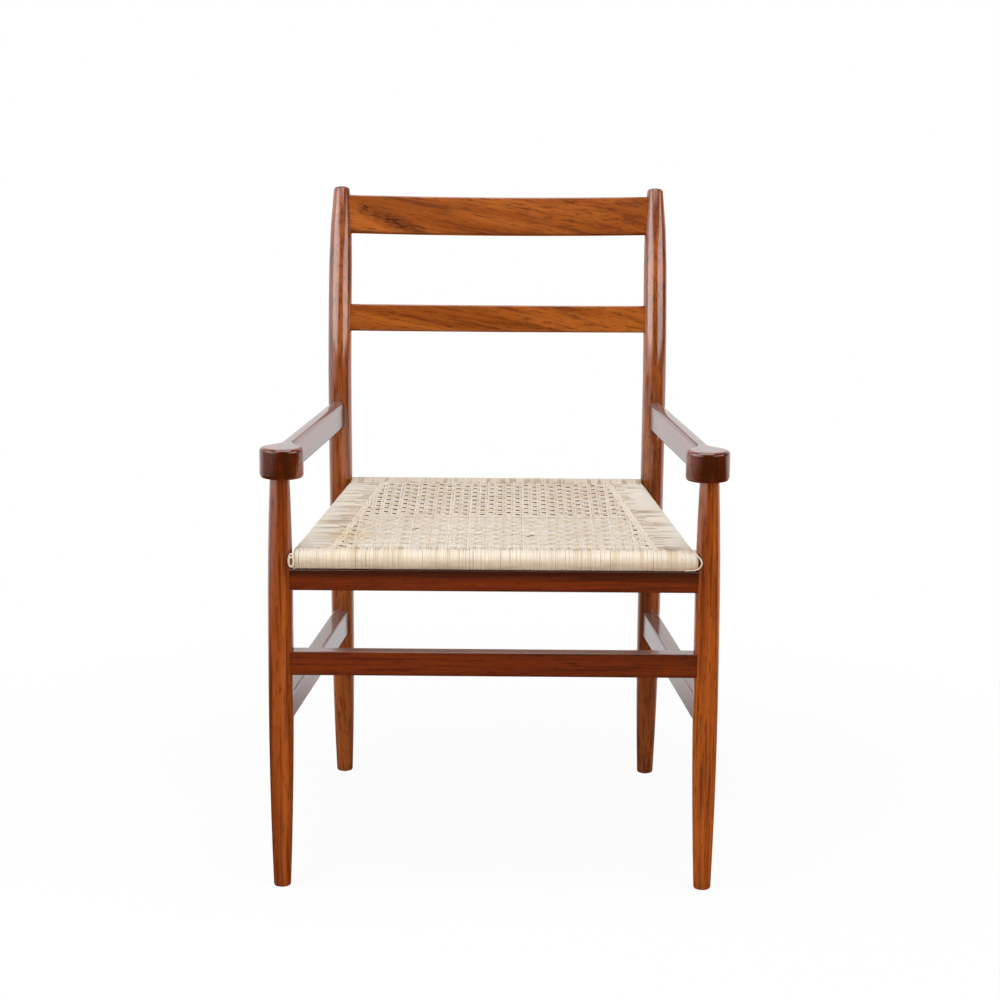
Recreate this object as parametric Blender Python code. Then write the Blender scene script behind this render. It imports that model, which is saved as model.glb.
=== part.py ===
"""Dining armchair with turned legs, bowed back slats, paddle arms and a cane seat.

Metres, +Z up. The chair faces -Y, its left and right halves mirror in X = 0, and the
origin lies on the floor under the middle of the chair's bounding box.
Every rail, stretcher, slat and arm has a coped shoulder and a tenon, and the legs and
posts have the mortises that the tenons fill.
"""

import math

import bmesh
import bpy
from mathutils import Vector

# Overall plan and height
HEIGHT = 0.8375                  # floor to the tops of the rear posts
FRONT_LEG_SPACING = 0.531        # between the axes of the front legs, on the floor
REAR_POST_SPACING = 0.432        # between the axes of the rear posts
LEG_TO_POST = 0.4545             # front leg axis to rear foot axis, on the floor

# Fits
CLEARANCE = 0.0003               # air between pieces that seat on each other
SEAT_TO_LEG = 0.0006             # air between the seat's sides and the legs
CUTTER_REACH = 0.0100            # how far a cutter runs past what it cuts

# Front legs
LEG_FOOT_DIAMETER = 0.0215
LEG_BELLY_DIAMETER = 0.0316
LEG_TOP_DIAMETER = 0.0242
LEG_BELLY_LOW = 0.300            # the belly runs between these two heights
LEG_BELLY_HIGH = 0.350
LEG_FOOT_TAPER = 2.2             # 1 is a straight cone; more keeps the leg full for longer
LEG_TOP_TAPER = 2.0
LEG_SPLAY = 0.0028               # how far a foot stands outside the leg's top
LEG_TENON_DIAMETER = 0.0150      # round tenon into the arm
LEG_TENON_LENGTH = 0.0240

# Rear posts
POST_FOOT_DIAMETER = 0.0222
POST_BELLY_DIAMETER = 0.0318
POST_TOP_DIAMETER = 0.0206
POST_BELLY_LOW = 0.300
POST_BELLY_HIGH = 0.690
POST_FOOT_TAPER = 2.4
POST_TOP_TAPER = 3.0
POST_FORWARD = 0.045             # how far the post's knee lies ahead of its foot
POST_KNEE_HEIGHT = 0.5675
POST_TOP_BACK = 0.026            # how far the post's top lies behind its foot
POST_LOWER_BEND = 1.2            # 1 is straight; more bends the post towards its foot
POST_UPPER_BEND = 1.6            # and towards its top
END_ROUNDING = 0.0025            # rounded rim of feet and post tops

# Arms
ARM_TOP_FRONT = 0.5660           # height of the arm's top at the front leg
ARM_TOP_REAR = 0.5500            # and at the rear post
ARM_DEPTH = 0.0382               # top face to underside
ARM_THICKNESS = 0.0170
PAD_WIDTH = 0.0542               # paddle over the front leg
PAD_INSET = 0.0027               # paddle centre, inboard of the leg's axis
FLARE_LENGTH = 0.0420            # from the paddle's middle to the plain rail
ARM_ROUNDING = 0.0050

# Back slats
SLAT_THICKNESS = 0.0150
SLAT_BOW = 0.0100                # how far a slat's middle lies behind its ends
CREST_HEIGHT = 0.0515
CREST_DROP = 0.0380              # post top to the crest slat's middle
MIDDLE_SLAT_HEIGHT = 0.0360
SLAT_SPACING = 0.1372            # between the middles of the two slats

# Seat rails and stretchers
RAIL_BOTTOM = 0.3875
RAIL_HEIGHT = 0.0268
END_RAIL_THICKNESS = 0.0195      # front and rear
SIDE_RAIL_THICKNESS = 0.0190
SIDE_RAIL_INSET = 0.0100         # outer face, inside the seat's side
FRONT_STRETCHER_BOTTOM = 0.2790
FRONT_STRETCHER_HEIGHT = 0.0305
FRONT_STRETCHER_THICKNESS = 0.0210
SIDE_STRETCHER_BOTTOM = 0.2130
SIDE_STRETCHER_HEIGHT = 0.0335
SIDE_STRETCHER_THICKNESS = 0.0205
ARRIS = 0.0020                   # rounded long edges

# Tenons of rails, stretchers, slats and arms
TENON_THICKNESS = 0.0090
TENON_LENGTH = 0.0180            # from the leg's surface inwards
TENON_SHOULDER = 0.0050          # shoulder above and below a tenon
STUB_TENON_LENGTH = 0.0120       # side pieces into the front and rear ones
TENON_ROOT = 0.0080              # how far a tenon is rooted in its own bar

# Seat: wooden frame, cane wound over its members, open cane field between them
SEAT_HEIGHT = 0.0237             # thickness of the wound frame
SEAT_OVERHANG = 0.0160           # front of the seat, ahead of the front leg axis
SEAT_TAIL = 0.0140               # back of the seat, behind the post axis
FRONT_BORDER = 0.0270            # width of the wound border
SIDE_BORDER = 0.0440
BACK_BORDER = 0.0460
CANE_THICKNESS = 0.0014
ROLL_RADIUS = 0.0114             # rounded front and back edges of the seat
SIDE_ROLL_RADIUS = 0.0040        # and its side edges
INNER_RADIUS = 0.0020            # edges towards the open field
LEAST_RADIUS = 0.0005            # least rounding of the wood inside the cane
ROLL_END = 0.0060                # the wound roll runs past its member's end by this
SEAT_TENON_WIDTH = 0.0240
SEAT_TENON_THICKNESS = 0.0070
FIELD_THICKNESS = 0.0016
FIELD_MARGIN = 0.0050            # closed cane round the field
FIELD_PITCH = 0.0275             # spacing of the octagonal gaps
FIELD_STRAND = 0.0110            # cane between two gaps

# Screws that hold the seat down from below
SCREW_DIAMETER = 0.0040
SCREW_HEAD_DIAMETER = 0.0080
SCREW_HEAD_HEIGHT = 0.0030
SCREW_POINT_DIAMETER = 0.0010
SCREW_BITE = 0.0090              # length in the seat frame
SCREW_SINK = 0.0100              # depth of the counterbore in the rail
FRONT_SCREW_SPACING = 0.3000
REAR_SCREW_SPACING = 0.2400

# Facets
RING_SIDES = 24
SCREW_SIDES = 12
CORNER_STEPS = 2
SHARP_ANGLE = math.radians(38)
RIM_SHARES = (0.0, 0.3, 1.0)     # heights of the rings round a foot's rim

WOOD_COLOUR = (0.205, 0.058, 0.016, 1.0)
RAIL_COLOUR = (0.130, 0.033, 0.011, 1.0)
HIDDEN_WOOD_COLOUR = (0.420, 0.255, 0.125, 1.0)
CANE_COLOUR = (0.780, 0.690, 0.540, 1.0)
STEEL_COLOUR = (0.520, 0.520, 0.530, 1.0)

UP = Vector((0.0, 0.0, 1.0))
HALF_FRONT = FRONT_LEG_SPACING / 2
HALF_REAR = REAR_POST_SPACING / 2
LEG_TOP = ARM_TOP_FRONT - ARM_DEPTH
CREST_CENTRE = HEIGHT - CREST_DROP
MIDDLE_SLAT_CENTRE = CREST_CENTRE - SLAT_SPACING
RAIL_TOP = RAIL_BOTTOM + RAIL_HEIGHT
SEAT_BOTTOM = RAIL_TOP + CLEARANCE
SEAT_TOP = SEAT_BOTTOM + SEAT_HEIGHT


def post_offset(z):
    """How far the post's axis at height z lies behind its foot."""
    if z < POST_KNEE_HEIGHT:
        return -POST_FORWARD * (1 - (1 - z / POST_KNEE_HEIGHT) ** POST_LOWER_BEND)
    rise = (z - POST_KNEE_HEIGHT) / (HEIGHT - POST_KNEE_HEIGHT)
    return (POST_FORWARD + POST_TOP_BACK) * rise ** POST_UPPER_BEND - POST_FORWARD


def post_rake(z):
    """Angle of the post's axis to the vertical, positive where it leans back."""
    step = 0.002
    return math.atan2(post_offset(z + step) - post_offset(z - step), 2 * step)


def rear_reach():
    """Rearmost point behind the rear foot axis: the crest's bowed top edge, or a post's top."""
    rake = post_rake(CREST_CENTRE)
    crest = post_offset(CREST_CENTRE) + (SLAT_BOW + SLAT_THICKNESS / 2) * math.cos(rake)
    crest += (CREST_HEIGHT / 2 - ARRIS) * math.sin(rake)
    top = POST_TOP_BACK + POST_TOP_DIAMETER / 2
    return max(crest, top)


FRONT_Y = (PAD_WIDTH / 2 - LEG_TO_POST - rear_reach()) / 2
FOOT_Y = FRONT_Y + LEG_TO_POST


def post_point(side, z):
    return Vector((side * HALF_REAR, FOOT_Y + post_offset(z), z))


def leg_point(side, z):
    return Vector((side * (HALF_FRONT - LEG_SPLAY * z / LEG_TOP), FRONT_Y, z))


def barrel(z, height, belly_low, belly_high, foot, belly, top, foot_power, top_power):
    """Radius at height z of a turned leg that swells to a belly and tapers to both ends."""
    if z < belly_low:
        share = (belly_low - z) / belly_low
        return (belly - (belly - foot) * share ** foot_power) / 2
    if z > belly_high:
        share = (z - belly_high) / (height - belly_high)
        return (belly - (belly - top) * share ** top_power) / 2
    return belly / 2


def post_radius(z):
    return barrel(z, HEIGHT, POST_BELLY_LOW, POST_BELLY_HIGH,
                  POST_FOOT_DIAMETER, POST_BELLY_DIAMETER, POST_TOP_DIAMETER,
                  POST_FOOT_TAPER, POST_TOP_TAPER)


def leg_radius(z):
    return barrel(z, LEG_TOP, LEG_BELLY_LOW, LEG_BELLY_HIGH,
                  LEG_FOOT_DIAMETER, LEG_BELLY_DIAMETER, LEG_TOP_DIAMETER,
                  LEG_FOOT_TAPER, LEG_TOP_TAPER)


def make_material(name, colour, roughness, metallic=0.0):
    material = bpy.data.materials.new(name)
    material.use_nodes = True
    shader = material.node_tree.nodes["Principled BSDF"]
    shader.inputs["Base Color"].default_value = colour
    shader.inputs["Roughness"].default_value = roughness
    shader.inputs["Metallic"].default_value = metallic
    material.diffuse_color = colour
    return material


def add_object(name, shells, material):
    """One object from closed shells, each a list of rings; a shell may be (rings, inner rings)."""
    mesh_builder = bmesh.new()
    for shell in shells:
        if isinstance(shell, tuple):
            add_tube(mesh_builder, *shell)
        else:
            add_loft(mesh_builder, shell)
    bmesh.ops.recalc_face_normals(mesh_builder, faces=mesh_builder.faces)
    mesh = bpy.data.meshes.new(name)
    mesh_builder.to_mesh(mesh)
    mesh_builder.free()
    mesh.materials.append(material)
    mesh.shade_smooth()
    mesh.set_sharp_from_angle(angle=SHARP_ANGLE)
    chair_object = bpy.data.objects.new(name, mesh)
    bpy.context.scene.collection.objects.link(chair_object)
    chair_object.parent = CHAIR
    return chair_object


def add_rings(mesh_builder, rings):
    """Vertices for each ring, and the quads between neighbouring rings."""
    made = [[mesh_builder.verts.new(point) for point in ring] for ring in rings]
    for lower, upper in zip(made, made[1:]):
        count = len(lower)
        for i in range(count):
            j = (i + 1) % count
            mesh_builder.faces.new((lower[i], lower[j], upper[j], upper[i]))
    return made


def add_loft(mesh_builder, rings):
    made = add_rings(mesh_builder, rings)
    mesh_builder.faces.new(made[0][::-1])
    mesh_builder.faces.new(made[-1])


def add_tube(mesh_builder, outer_rings, inner_rings):
    outer = add_rings(mesh_builder, outer_rings)
    inner = add_rings(mesh_builder, inner_rings)
    for end in (0, -1):
        count = len(outer[end])
        for i in range(count):
            j = (i + 1) % count
            mesh_builder.faces.new((outer[end][i], outer[end][j], inner[end][j], inner[end][i]))


def boolean(target, tool, operation):
    """Live Boolean on target; the tool becomes a hidden wire guide."""
    modifier = target.modifiers.new(operation.lower(), "BOOLEAN")
    modifier.operation = operation
    modifier.solver = "EXACT"
    modifier.object = tool
    tool.hide_render = True
    tool.display_type = "WIRE"
    return target


def cut(target, tool):
    return boolean(target, tool, "DIFFERENCE")


def unite(target, tool):
    return boolean(target, tool, "UNION")


def ring(centre, radius, tilt=0.0, sides=RING_SIDES):
    """Circle about the axis of a leg that leans back by tilt."""
    points = []
    for i in range(sides):
        angle = 2 * math.pi * (i + 0.5) / sides
        across = radius * math.cos(angle)
        along = radius * math.sin(angle)
        back = Vector((across, along * math.cos(tilt), -along * math.sin(tilt)))
        points.append(centre + back)
    return points


def rounded_rectangle(left, right, bottom, top, radii):
    """Outline with its own radius at each corner: bottom right, top right, top left, bottom left."""
    corners = ((right, bottom, 1, -1, -90), (right, top, 1, 1, 0),
               (left, top, -1, 1, 90), (left, bottom, -1, -1, 180))
    outline = []
    for (x, y, sign_x, sign_y, start), radius in zip(corners, radii):
        for step in range(CORNER_STEPS + 1):
            angle = math.radians(start + 90 * step / CORNER_STEPS)
            outline.append((x - sign_x * radius + radius * math.cos(angle),
                            y - sign_y * radius + radius * math.sin(angle)))
    return outline


def sweep(profile, stations):
    """The profile's outline at each station, given as an origin with its across and up vectors."""
    return [[origin + across * u + up * v for u, v in profile] for origin, across, up in stations]


def block(start, end, across, up, thickness, low, high):
    """Rings of a plain bar from start to end; low and high are measured along up."""
    half = thickness / 2
    corners = ((-half, low), (half, low), (half, high), (-half, high))
    return sweep(corners, ((start, across, up), (end, across, up)))


def cylinder(centre, low, high, radius, sides=SCREW_SIDES):
    bottom = Vector((centre.x, centre.y, low))
    top = Vector((centre.x, centre.y, high))
    return [ring(bottom, radius, 0.0, sides), ring(top, radius, 0.0, sides)]


class Upright:
    """A leg or post with the solid that copes the bars it carries, and its mortises."""

    def __init__(self, name, rings_of, material):
        self.solid = add_object(name, [rings_of(0.0)], material)
        self.coping = add_object(name + "_coping", [rings_of(CLEARANCE)], material)
        self.coping.hide_render = True
        self.coping.display_type = "WIRE"
        self.name = name
        self.material = material
        self.mortises = []

    def cut_mortises(self):
        cutter = add_object(self.name + "_mortises", self.mortises, self.material)
        cut(self.solid, cutter)


def fit(bar, ends, thickness):
    """Copes a bar to its uprights and roots a tenon at each end.

    An end is (upright, axis point, outward direction, radius, across, up, low, high).
    """
    tenons = []
    for upright, axis, outward, radius, across, up, low, high in ends:
        cut(bar, upright.coping)
        surface = axis - outward * radius
        tip = surface + outward * TENON_LENGTH
        root = surface - outward * TENON_ROOT
        tenons.append(block(root, tip, across, up, thickness, low, high))
        upright.mortises.append(block(
            root, tip + outward * CLEARANCE, across, up,
            thickness + 2 * CLEARANCE, low - CLEARANCE, high + CLEARANCE))
    unite(bar, add_object(bar.name + "_tenons", tenons, bar.data.materials[0]))
    return bar


def tenon_zone(height):
    """Lower and upper edge of the tenon on a bar of this height."""
    return TENON_SHOULDER, height - TENON_SHOULDER


def stub_tenons(side, offset, front_face, back_face, width, low, high):
    """Tenons at both ends of a piece along the seat's side, and the mortises that they fill.

    Offset is the tenon's middle, inside the seat's side; low and high are heights.
    """
    across = Vector((1.0, 0.0, 0.0))
    tenons = []
    mortises = []
    for face, turn in ((front_face, -1), (back_face, 1)):
        outward = Vector((0.0, turn, 0.0))
        shoulder = Vector((side * (seat_side(face) - offset), face, 0.0))
        root = shoulder - outward * TENON_ROOT
        tip = shoulder + outward * STUB_TENON_LENGTH
        tenons.append(block(root, tip, across, UP, width, low, high))
        mortises.append(block(root, tip + outward * CLEARANCE, across, UP,
                              width + 2 * CLEARANCE, low - CLEARANCE, high + CLEARANCE))
    return tenons, mortises


def straight_bar(name, first, second, bottom, height, thickness, material):
    """Level bar between two uprights, given as (upright, axis function, radius function)."""
    middle = bottom + height / 2
    start = first[1](middle)
    end = second[1](middle)
    start.z = end.z = bottom
    along = (end - start).normalized()
    across = along.cross(UP)
    half = thickness / 2
    profile = rounded_rectangle(-half, half, 0.0, height, [ARRIS] * 4)
    bar = add_object(name, [sweep(profile, ((start, across, UP), (end, across, UP)))], material)
    low, high = tenon_zone(height)
    ends = ((first[0], start, -along, first[2](middle), across, UP, low, high),
            (second[0], end, along, second[2](middle), across, UP, low, high))
    return fit(bar, ends, TENON_THICKNESS)


def arm_axis(side):
    """Start of the arm over the front leg, its unit direction to the rear and its length."""
    start = leg_point(side, LEG_TOP) - Vector((side * PAD_INSET, 0.0, LEG_TOP))
    end = post_point(side, ARM_TOP_REAR - ARM_DEPTH / 2)
    end.z = 0.0
    return start, (end - start).normalized(), (end - start).length


def arm_slope(side):
    return (ARM_TOP_FRONT - ARM_TOP_REAR) / arm_axis(side)[2]


def arm_underside(side, point):
    """Height of the arm's underside over a plan point."""
    start, rearward, _ = arm_axis(side)
    run = (Vector((point.x, point.y, 0.0)) - start).dot(rearward)
    return LEG_TOP - run * arm_slope(side)


def leg_rings(side):
    def rings_of(grow):
        rings = []
        for share in RIM_SHARES:
            inset = END_ROUNDING * (1 - math.sqrt(1 - (1 - share) ** 2))
            z = share * END_ROUNDING
            rings.append(ring(leg_point(side, z), leg_radius(z) - inset + grow))
        steps = 11
        for i in range(1, steps):
            z = END_ROUNDING + (LEG_TOP - END_ROUNDING) * i / steps
            rings.append(ring(leg_point(side, z), leg_radius(z) + grow))
        top = leg_point(side, LEG_TOP)
        for radius in (LEG_TOP_DIAMETER / 2 + grow, LEG_TENON_DIAMETER / 2 + grow):
            shoulder = ring(top, radius)
            for point in shoulder:
                point.z = arm_underside(side, point) - CLEARANCE
            rings.append(shoulder)
        top.z = arm_underside(side, top) + LEG_TENON_LENGTH
        rings.append(ring(top, LEG_TENON_DIAMETER / 2 + grow))
        return rings
    return rings_of


def post_rings(side):
    def rings_of(grow):
        rings = []
        for share in RIM_SHARES:
            inset = END_ROUNDING * (1 - math.sqrt(1 - (1 - share) ** 2))
            z = share * END_ROUNDING
            rings.append(ring(post_point(side, z), post_radius(z) - inset + grow))
        crown = HEIGHT - POST_TOP_DIAMETER / 2 * math.sin(post_rake(HEIGHT))
        last = crown - END_ROUNDING
        steps = 17
        for i in range(1, steps + 1):
            z = END_ROUNDING + (last - END_ROUNDING) * i / steps
            tilt = post_rake(z) * min(1.0, i / 2)
            rings.append(ring(post_point(side, z), post_radius(z) + grow, tilt))
        for share in (0.7, 1.0):
            inset = END_ROUNDING * (1 - math.sqrt(1 - share ** 2))
            z = last + share * END_ROUNDING
            rings.append(ring(post_point(side, z), post_radius(z) - inset + grow, post_rake(z)))
        return rings
    return rings_of


def slat(name, posts, centre, height, material):
    """Back slat bowed to the rear between the two posts, leaning as the posts do."""
    rake = post_rake(centre)
    back = Vector((0.0, math.cos(rake), -math.sin(rake)))
    up = Vector((0.0, math.sin(rake), math.cos(rake)))
    middle = Vector((0.0, FOOT_Y + post_offset(centre), centre))
    radius = (HALF_REAR ** 2 + SLAT_BOW ** 2) / (2 * SLAT_BOW)
    half_angle = math.asin(HALF_REAR / radius)
    stations = []
    steps = 14
    for i in range(steps + 1):
        angle = half_angle * (2 * i / steps - 1)
        sideways = Vector((radius * math.sin(angle), 0.0, 0.0))
        bowed = back * (radius * math.cos(angle) - radius + SLAT_BOW)
        outward = back * math.cos(angle) + Vector((math.sin(angle), 0.0, 0.0))
        stations.append((middle + sideways + bowed, outward, up))
    half = SLAT_THICKNESS / 2
    profile = rounded_rectangle(-half, half, -height / 2, height / 2, [ARRIS] * 4)
    body = add_object(name, [sweep(profile, stations)], material)
    reach = height / 2 - TENON_SHOULDER
    ends = []
    for side, post in posts.items():
        outward = Vector((side, 0.0, 0.0))
        ends.append((post, post_point(side, centre), outward, post_radius(centre),
                     back, up, -reach, reach))
    return fit(body, ends, TENON_THICKNESS)


def arm_outline(side):
    """Plan outline of an arm as (run to the rear, offset outwards) with the outward normals."""
    pad = PAD_WIDTH / 2
    rail = ARM_THICKNESS / 2
    length = arm_axis(side)[2]
    flare_steps = 7
    edge = [(length, rail), (length * 0.5, rail)]
    for i in range(flare_steps, 0, -1):
        share = i / flare_steps
        width = rail + (pad - rail) * (1 + math.cos(math.pi * share)) / 2
        edge.append((FLARE_LENGTH * share, width))
    round_steps = 14
    front = []
    for i in range(round_steps + 1):
        angle = math.pi * i / round_steps
        front.append((-pad * math.sin(angle), pad * math.cos(angle)))
    return edge + front + [(run, -offset) for run, offset in reversed(edge)]


def inset_outline(outline, distance):
    """Closed plan outline moved inwards by distance, along the normals at its points."""
    moved = []
    count = len(outline)
    for i, point in enumerate(outline):
        here = Vector(point)
        before = (here - Vector(outline[i - 1])).normalized()
        after = (Vector(outline[(i + 1) % count]) - here).normalized()
        inward = (Vector((-before.y, before.x)) + Vector((-after.y, after.x))).normalized()
        spread = max(0.3, inward.dot(Vector((-before.y, before.x))))
        moved.append(here + inward * distance / spread)
    return moved


def arm(name, side, post, material):
    """Arm with a rail tenoned into the post and a rounded paddle over the front leg."""
    start, rearward, length = arm_axis(side)
    outward = rearward.cross(UP) * side * (1 if rearward.cross(UP).x > 0 else -1)
    outline = arm_outline(side)
    slope = arm_slope(side)
    levels = []
    steps = 3
    for i in range(steps + 1):
        angle = math.pi / 2 * i / steps
        levels.append((ARM_ROUNDING * (1 - math.sin(angle)), ARM_ROUNDING * (1 - math.cos(angle))))
    levels += [(inset, ARM_DEPTH - height) for inset, height in reversed(levels)]
    rings = []
    for inset, height in levels:
        points = []
        for run, offset in inset_outline(outline, inset):
            point = start + rearward * run + outward * offset
            point.z = LEG_TOP + height - run * slope
            points.append(point)
        rings.append(points)
    body = add_object(name, [rings], material)
    axis = start + rearward * length
    axis.z = arm_underside(side, axis)
    zone = tenon_zone(ARM_DEPTH)
    radius = post_radius(axis.z + ARM_DEPTH / 2)
    fit(body, [(post, axis, rearward, radius, outward, UP, *zone)], TENON_THICKNESS)
    top = leg_point(side, LEG_TOP)
    under = arm_underside(side, top)
    socket = cylinder(top, under - CUTTER_REACH, under + LEG_TENON_LENGTH + CLEARANCE,
                      LEG_TENON_DIAMETER / 2 + CLEARANCE, RING_SIDES)
    return cut(body, add_object(name + "_socket", [socket], material))


def seat_line():
    """Plan line of the seat's side as (x at the front leg axis, x gained per metre to the rear)."""
    leg = leg_point(1, SEAT_TOP)
    post = post_point(1, SEAT_BOTTOM)
    slope = (post.x - leg.x) / (post.y - leg.y)
    widest = max(leg_radius(SEAT_BOTTOM), post_radius(SEAT_BOTTOM)) + SEAT_TO_LEG
    return leg.x - widest * math.sqrt(1 + slope ** 2), slope


SEAT_SIDE, SEAT_SLOPE = seat_line()
SEAT_FRONT = FRONT_Y - SEAT_OVERHANG
SEAT_BACK = post_point(1, SEAT_BOTTOM).y + SEAT_TAIL
REAR_RAIL_Y = post_point(1, RAIL_BOTTOM + RAIL_HEIGHT / 2).y


def seat_side(y):
    """Half the seat's width at y."""
    return SEAT_SIDE + SEAT_SLOPE * (y - FRONT_Y)


def side_rail(name, side, material):
    """Rail under the seat's side, tenoned into the front and rear rails; returns its mortises."""
    half = END_RAIL_THICKNESS / 2
    front_face = FRONT_Y + half + CLEARANCE
    back_face = REAR_RAIL_Y - half - CLEARANCE
    profile = rounded_rectangle(SIDE_RAIL_INSET, SIDE_RAIL_INSET + SIDE_RAIL_THICKNESS,
                                RAIL_BOTTOM, RAIL_TOP, [ARRIS] * 4)
    rings = [[Vector((side * (seat_side(y) - u), y, v)) for u, v in profile]
             for y in (front_face, back_face)]
    rail = add_object(name, [rings], material)
    low, high = tenon_zone(RAIL_HEIGHT)
    middle = SIDE_RAIL_INSET + SIDE_RAIL_THICKNESS / 2
    tenons, mortises = stub_tenons(side, middle, front_face, back_face, TENON_THICKNESS,
                                   RAIL_BOTTOM + low, RAIL_BOTTOM + high)
    unite(rail, add_object(name + "_tenons", tenons, material))
    return mortises


def roll_profile(width, radius, inset):
    """Section of a wound seat member: across from its outer edge, and up from the seat's underside."""
    outer = max(radius - inset, LEAST_RADIUS)
    inner = max(INNER_RADIUS - inset, LEAST_RADIUS)
    return rounded_rectangle(inset, width - inset, inset, SEAT_HEIGHT - inset,
                             (inner, inner, outer, outer))


def cross_rings(width, inset, edge_y, inward, shorten):
    """Front or back seat piece: the roll's section carried across between the seat's two sides."""
    rings = []
    for side in (-1, 1):
        points = []
        for u, v in roll_profile(width, ROLL_RADIUS, inset):
            y = edge_y + inward * u
            points.append(Vector((side * (seat_side(y) - shorten), y, SEAT_BOTTOM + v)))
        rings.append(points)
    return rings


def side_rings(side, inset, front_y, back_y):
    """Side seat piece: the roll's section carried along the seat's slanted side."""
    rings = []
    for y in (front_y, back_y):
        points = []
        for u, v in roll_profile(SIDE_BORDER, SIDE_ROLL_RADIUS, inset):
            points.append(Vector((side * (seat_side(y) - u), y, SEAT_BOTTOM + v)))
        rings.append(points)
    return rings


def seat_screw(name, x, y, material):
    """Flat-headed screw that stands head down in the rail."""
    seat = Vector((x, y, 0.0))
    head = RAIL_BOTTOM + SCREW_SINK - SCREW_HEAD_HEIGHT
    neck = RAIL_BOTTOM + SCREW_SINK
    tip = SEAT_BOTTOM + CANE_THICKNESS + CLEARANCE + SCREW_BITE
    levels = ((head, SCREW_HEAD_DIAMETER / 2), (neck, SCREW_HEAD_DIAMETER / 2),
              (neck, SCREW_DIAMETER / 2), (tip - SCREW_DIAMETER, SCREW_DIAMETER / 2),
              (tip, SCREW_POINT_DIAMETER / 2))
    rings = [ring(seat + UP * z, radius, 0.0, SCREW_SIDES) for z, radius in levels]
    return add_object(name, [rings], material)


def screw_holes(name, spots, material):
    """Cutter with a counterbore and a pilot hole for each screw."""
    shells = []
    for x, y in spots:
        seat = Vector((x, y, 0.0))
        low = RAIL_BOTTOM - CUTTER_REACH
        neck = RAIL_BOTTOM + SCREW_SINK + CLEARANCE
        top = SEAT_BOTTOM + CANE_THICKNESS + 2 * CLEARANCE + SCREW_BITE
        levels = ((low, SCREW_HEAD_DIAMETER), (neck, SCREW_HEAD_DIAMETER),
                  (neck, SCREW_DIAMETER), (top, SCREW_DIAMETER))
        shells.append([ring(seat + UP * z, size / 2 + CLEARANCE, 0.0, SCREW_SIDES)
                       for z, size in levels])
    return add_object(name, shells, material)


def octagon(x, y, width, low, high):
    """Prism of one gap in the cane field, with flats towards the four sides."""
    radius = width / 2 / math.cos(math.pi / 8)
    rings = []
    for z in (low, high):
        points = []
        for i in range(8):
            angle = math.pi / 4 * (i + 0.5)
            points.append(Vector((x + radius * math.cos(angle), y + radius * math.sin(angle), z)))
        rings.append(points)
    return rings


def cane_field(name, material):
    """Flat net between the wound borders, with rows of octagonal gaps as wide as the seat allows."""
    front = SEAT_FRONT + FRONT_BORDER + CLEARANCE
    back = SEAT_BACK - BACK_BORDER - CLEARANCE
    low = SEAT_TOP - FIELD_THICKNESS
    rings = []
    for z in (low, SEAT_TOP):
        points = []
        for side, y in ((-1, front), (1, front), (1, back), (-1, back)):
            points.append(Vector((side * (seat_side(y) - SIDE_BORDER - CLEARANCE), y, z)))
        rings.append(points)
    field = add_object(name, [rings], material)
    gap = FIELD_PITCH - FIELD_STRAND
    rows = int((back - front - 2 * FIELD_MARGIN + FIELD_STRAND) / FIELD_PITCH)
    first = (front + back) / 2 - FIELD_PITCH * (rows - 1) / 2
    shells = []
    for row in range(rows):
        y = first + FIELD_PITCH * row
        room = seat_side(y + gap / 2) - SIDE_BORDER - FIELD_MARGIN
        columns = 2 * int((room - gap / 2) / FIELD_PITCH) + 1
        for column in range(columns):
            x = FIELD_PITCH * (column - (columns - 1) / 2)
            shells.append(octagon(x, y, gap, low - CUTTER_REACH, SEAT_TOP + CUTTER_REACH))
    return cut(field, add_object(name + "_gaps", shells, material))


def build_frame(wood, rail_wood):
    """Legs, posts, arms, slats, rails and stretchers; returns the front and rear seat rails."""
    legs = {}
    posts = {}
    for side, word in ((-1, "left"), (1, "right")):
        legs[side] = Upright("front_leg_" + word, leg_rings(side), wood)
        posts[side] = Upright("rear_post_" + word, post_rings(side), wood)

    def at_leg(side):
        return legs[side], lambda z: leg_point(side, z), leg_radius

    def at_post(side):
        return posts[side], lambda z: post_point(side, z), post_radius

    front_rail = straight_bar("front_seat_rail", at_leg(-1), at_leg(1), RAIL_BOTTOM, RAIL_HEIGHT,
                              END_RAIL_THICKNESS, rail_wood)
    rear_rail = straight_bar("rear_seat_rail", at_post(-1), at_post(1), RAIL_BOTTOM, RAIL_HEIGHT,
                             END_RAIL_THICKNESS, rail_wood)
    straight_bar("front_stretcher", at_leg(-1), at_leg(1), FRONT_STRETCHER_BOTTOM,
                 FRONT_STRETCHER_HEIGHT, FRONT_STRETCHER_THICKNESS, rail_wood)
    mortises = []
    for side, word in ((-1, "left"), (1, "right")):
        mortises += side_rail("side_seat_rail_" + word, side, rail_wood)
        straight_bar("side_stretcher_" + word, at_leg(side), at_post(side), SIDE_STRETCHER_BOTTOM,
                     SIDE_STRETCHER_HEIGHT, SIDE_STRETCHER_THICKNESS, rail_wood)
        arm("arm_" + word, side, posts[side], wood)
    rail_mortises = add_object("side_rail_mortises", mortises, rail_wood)
    cut(front_rail, rail_mortises)
    cut(rear_rail, rail_mortises)
    slat("crest_slat", posts, CREST_CENTRE, CREST_HEIGHT, wood)
    slat("middle_slat", posts, MIDDLE_SLAT_CENTRE, MIDDLE_SLAT_HEIGHT, wood)
    for upright in (*legs.values(), *posts.values()):
        upright.cut_mortises()
    return front_rail, rear_rail


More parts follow.
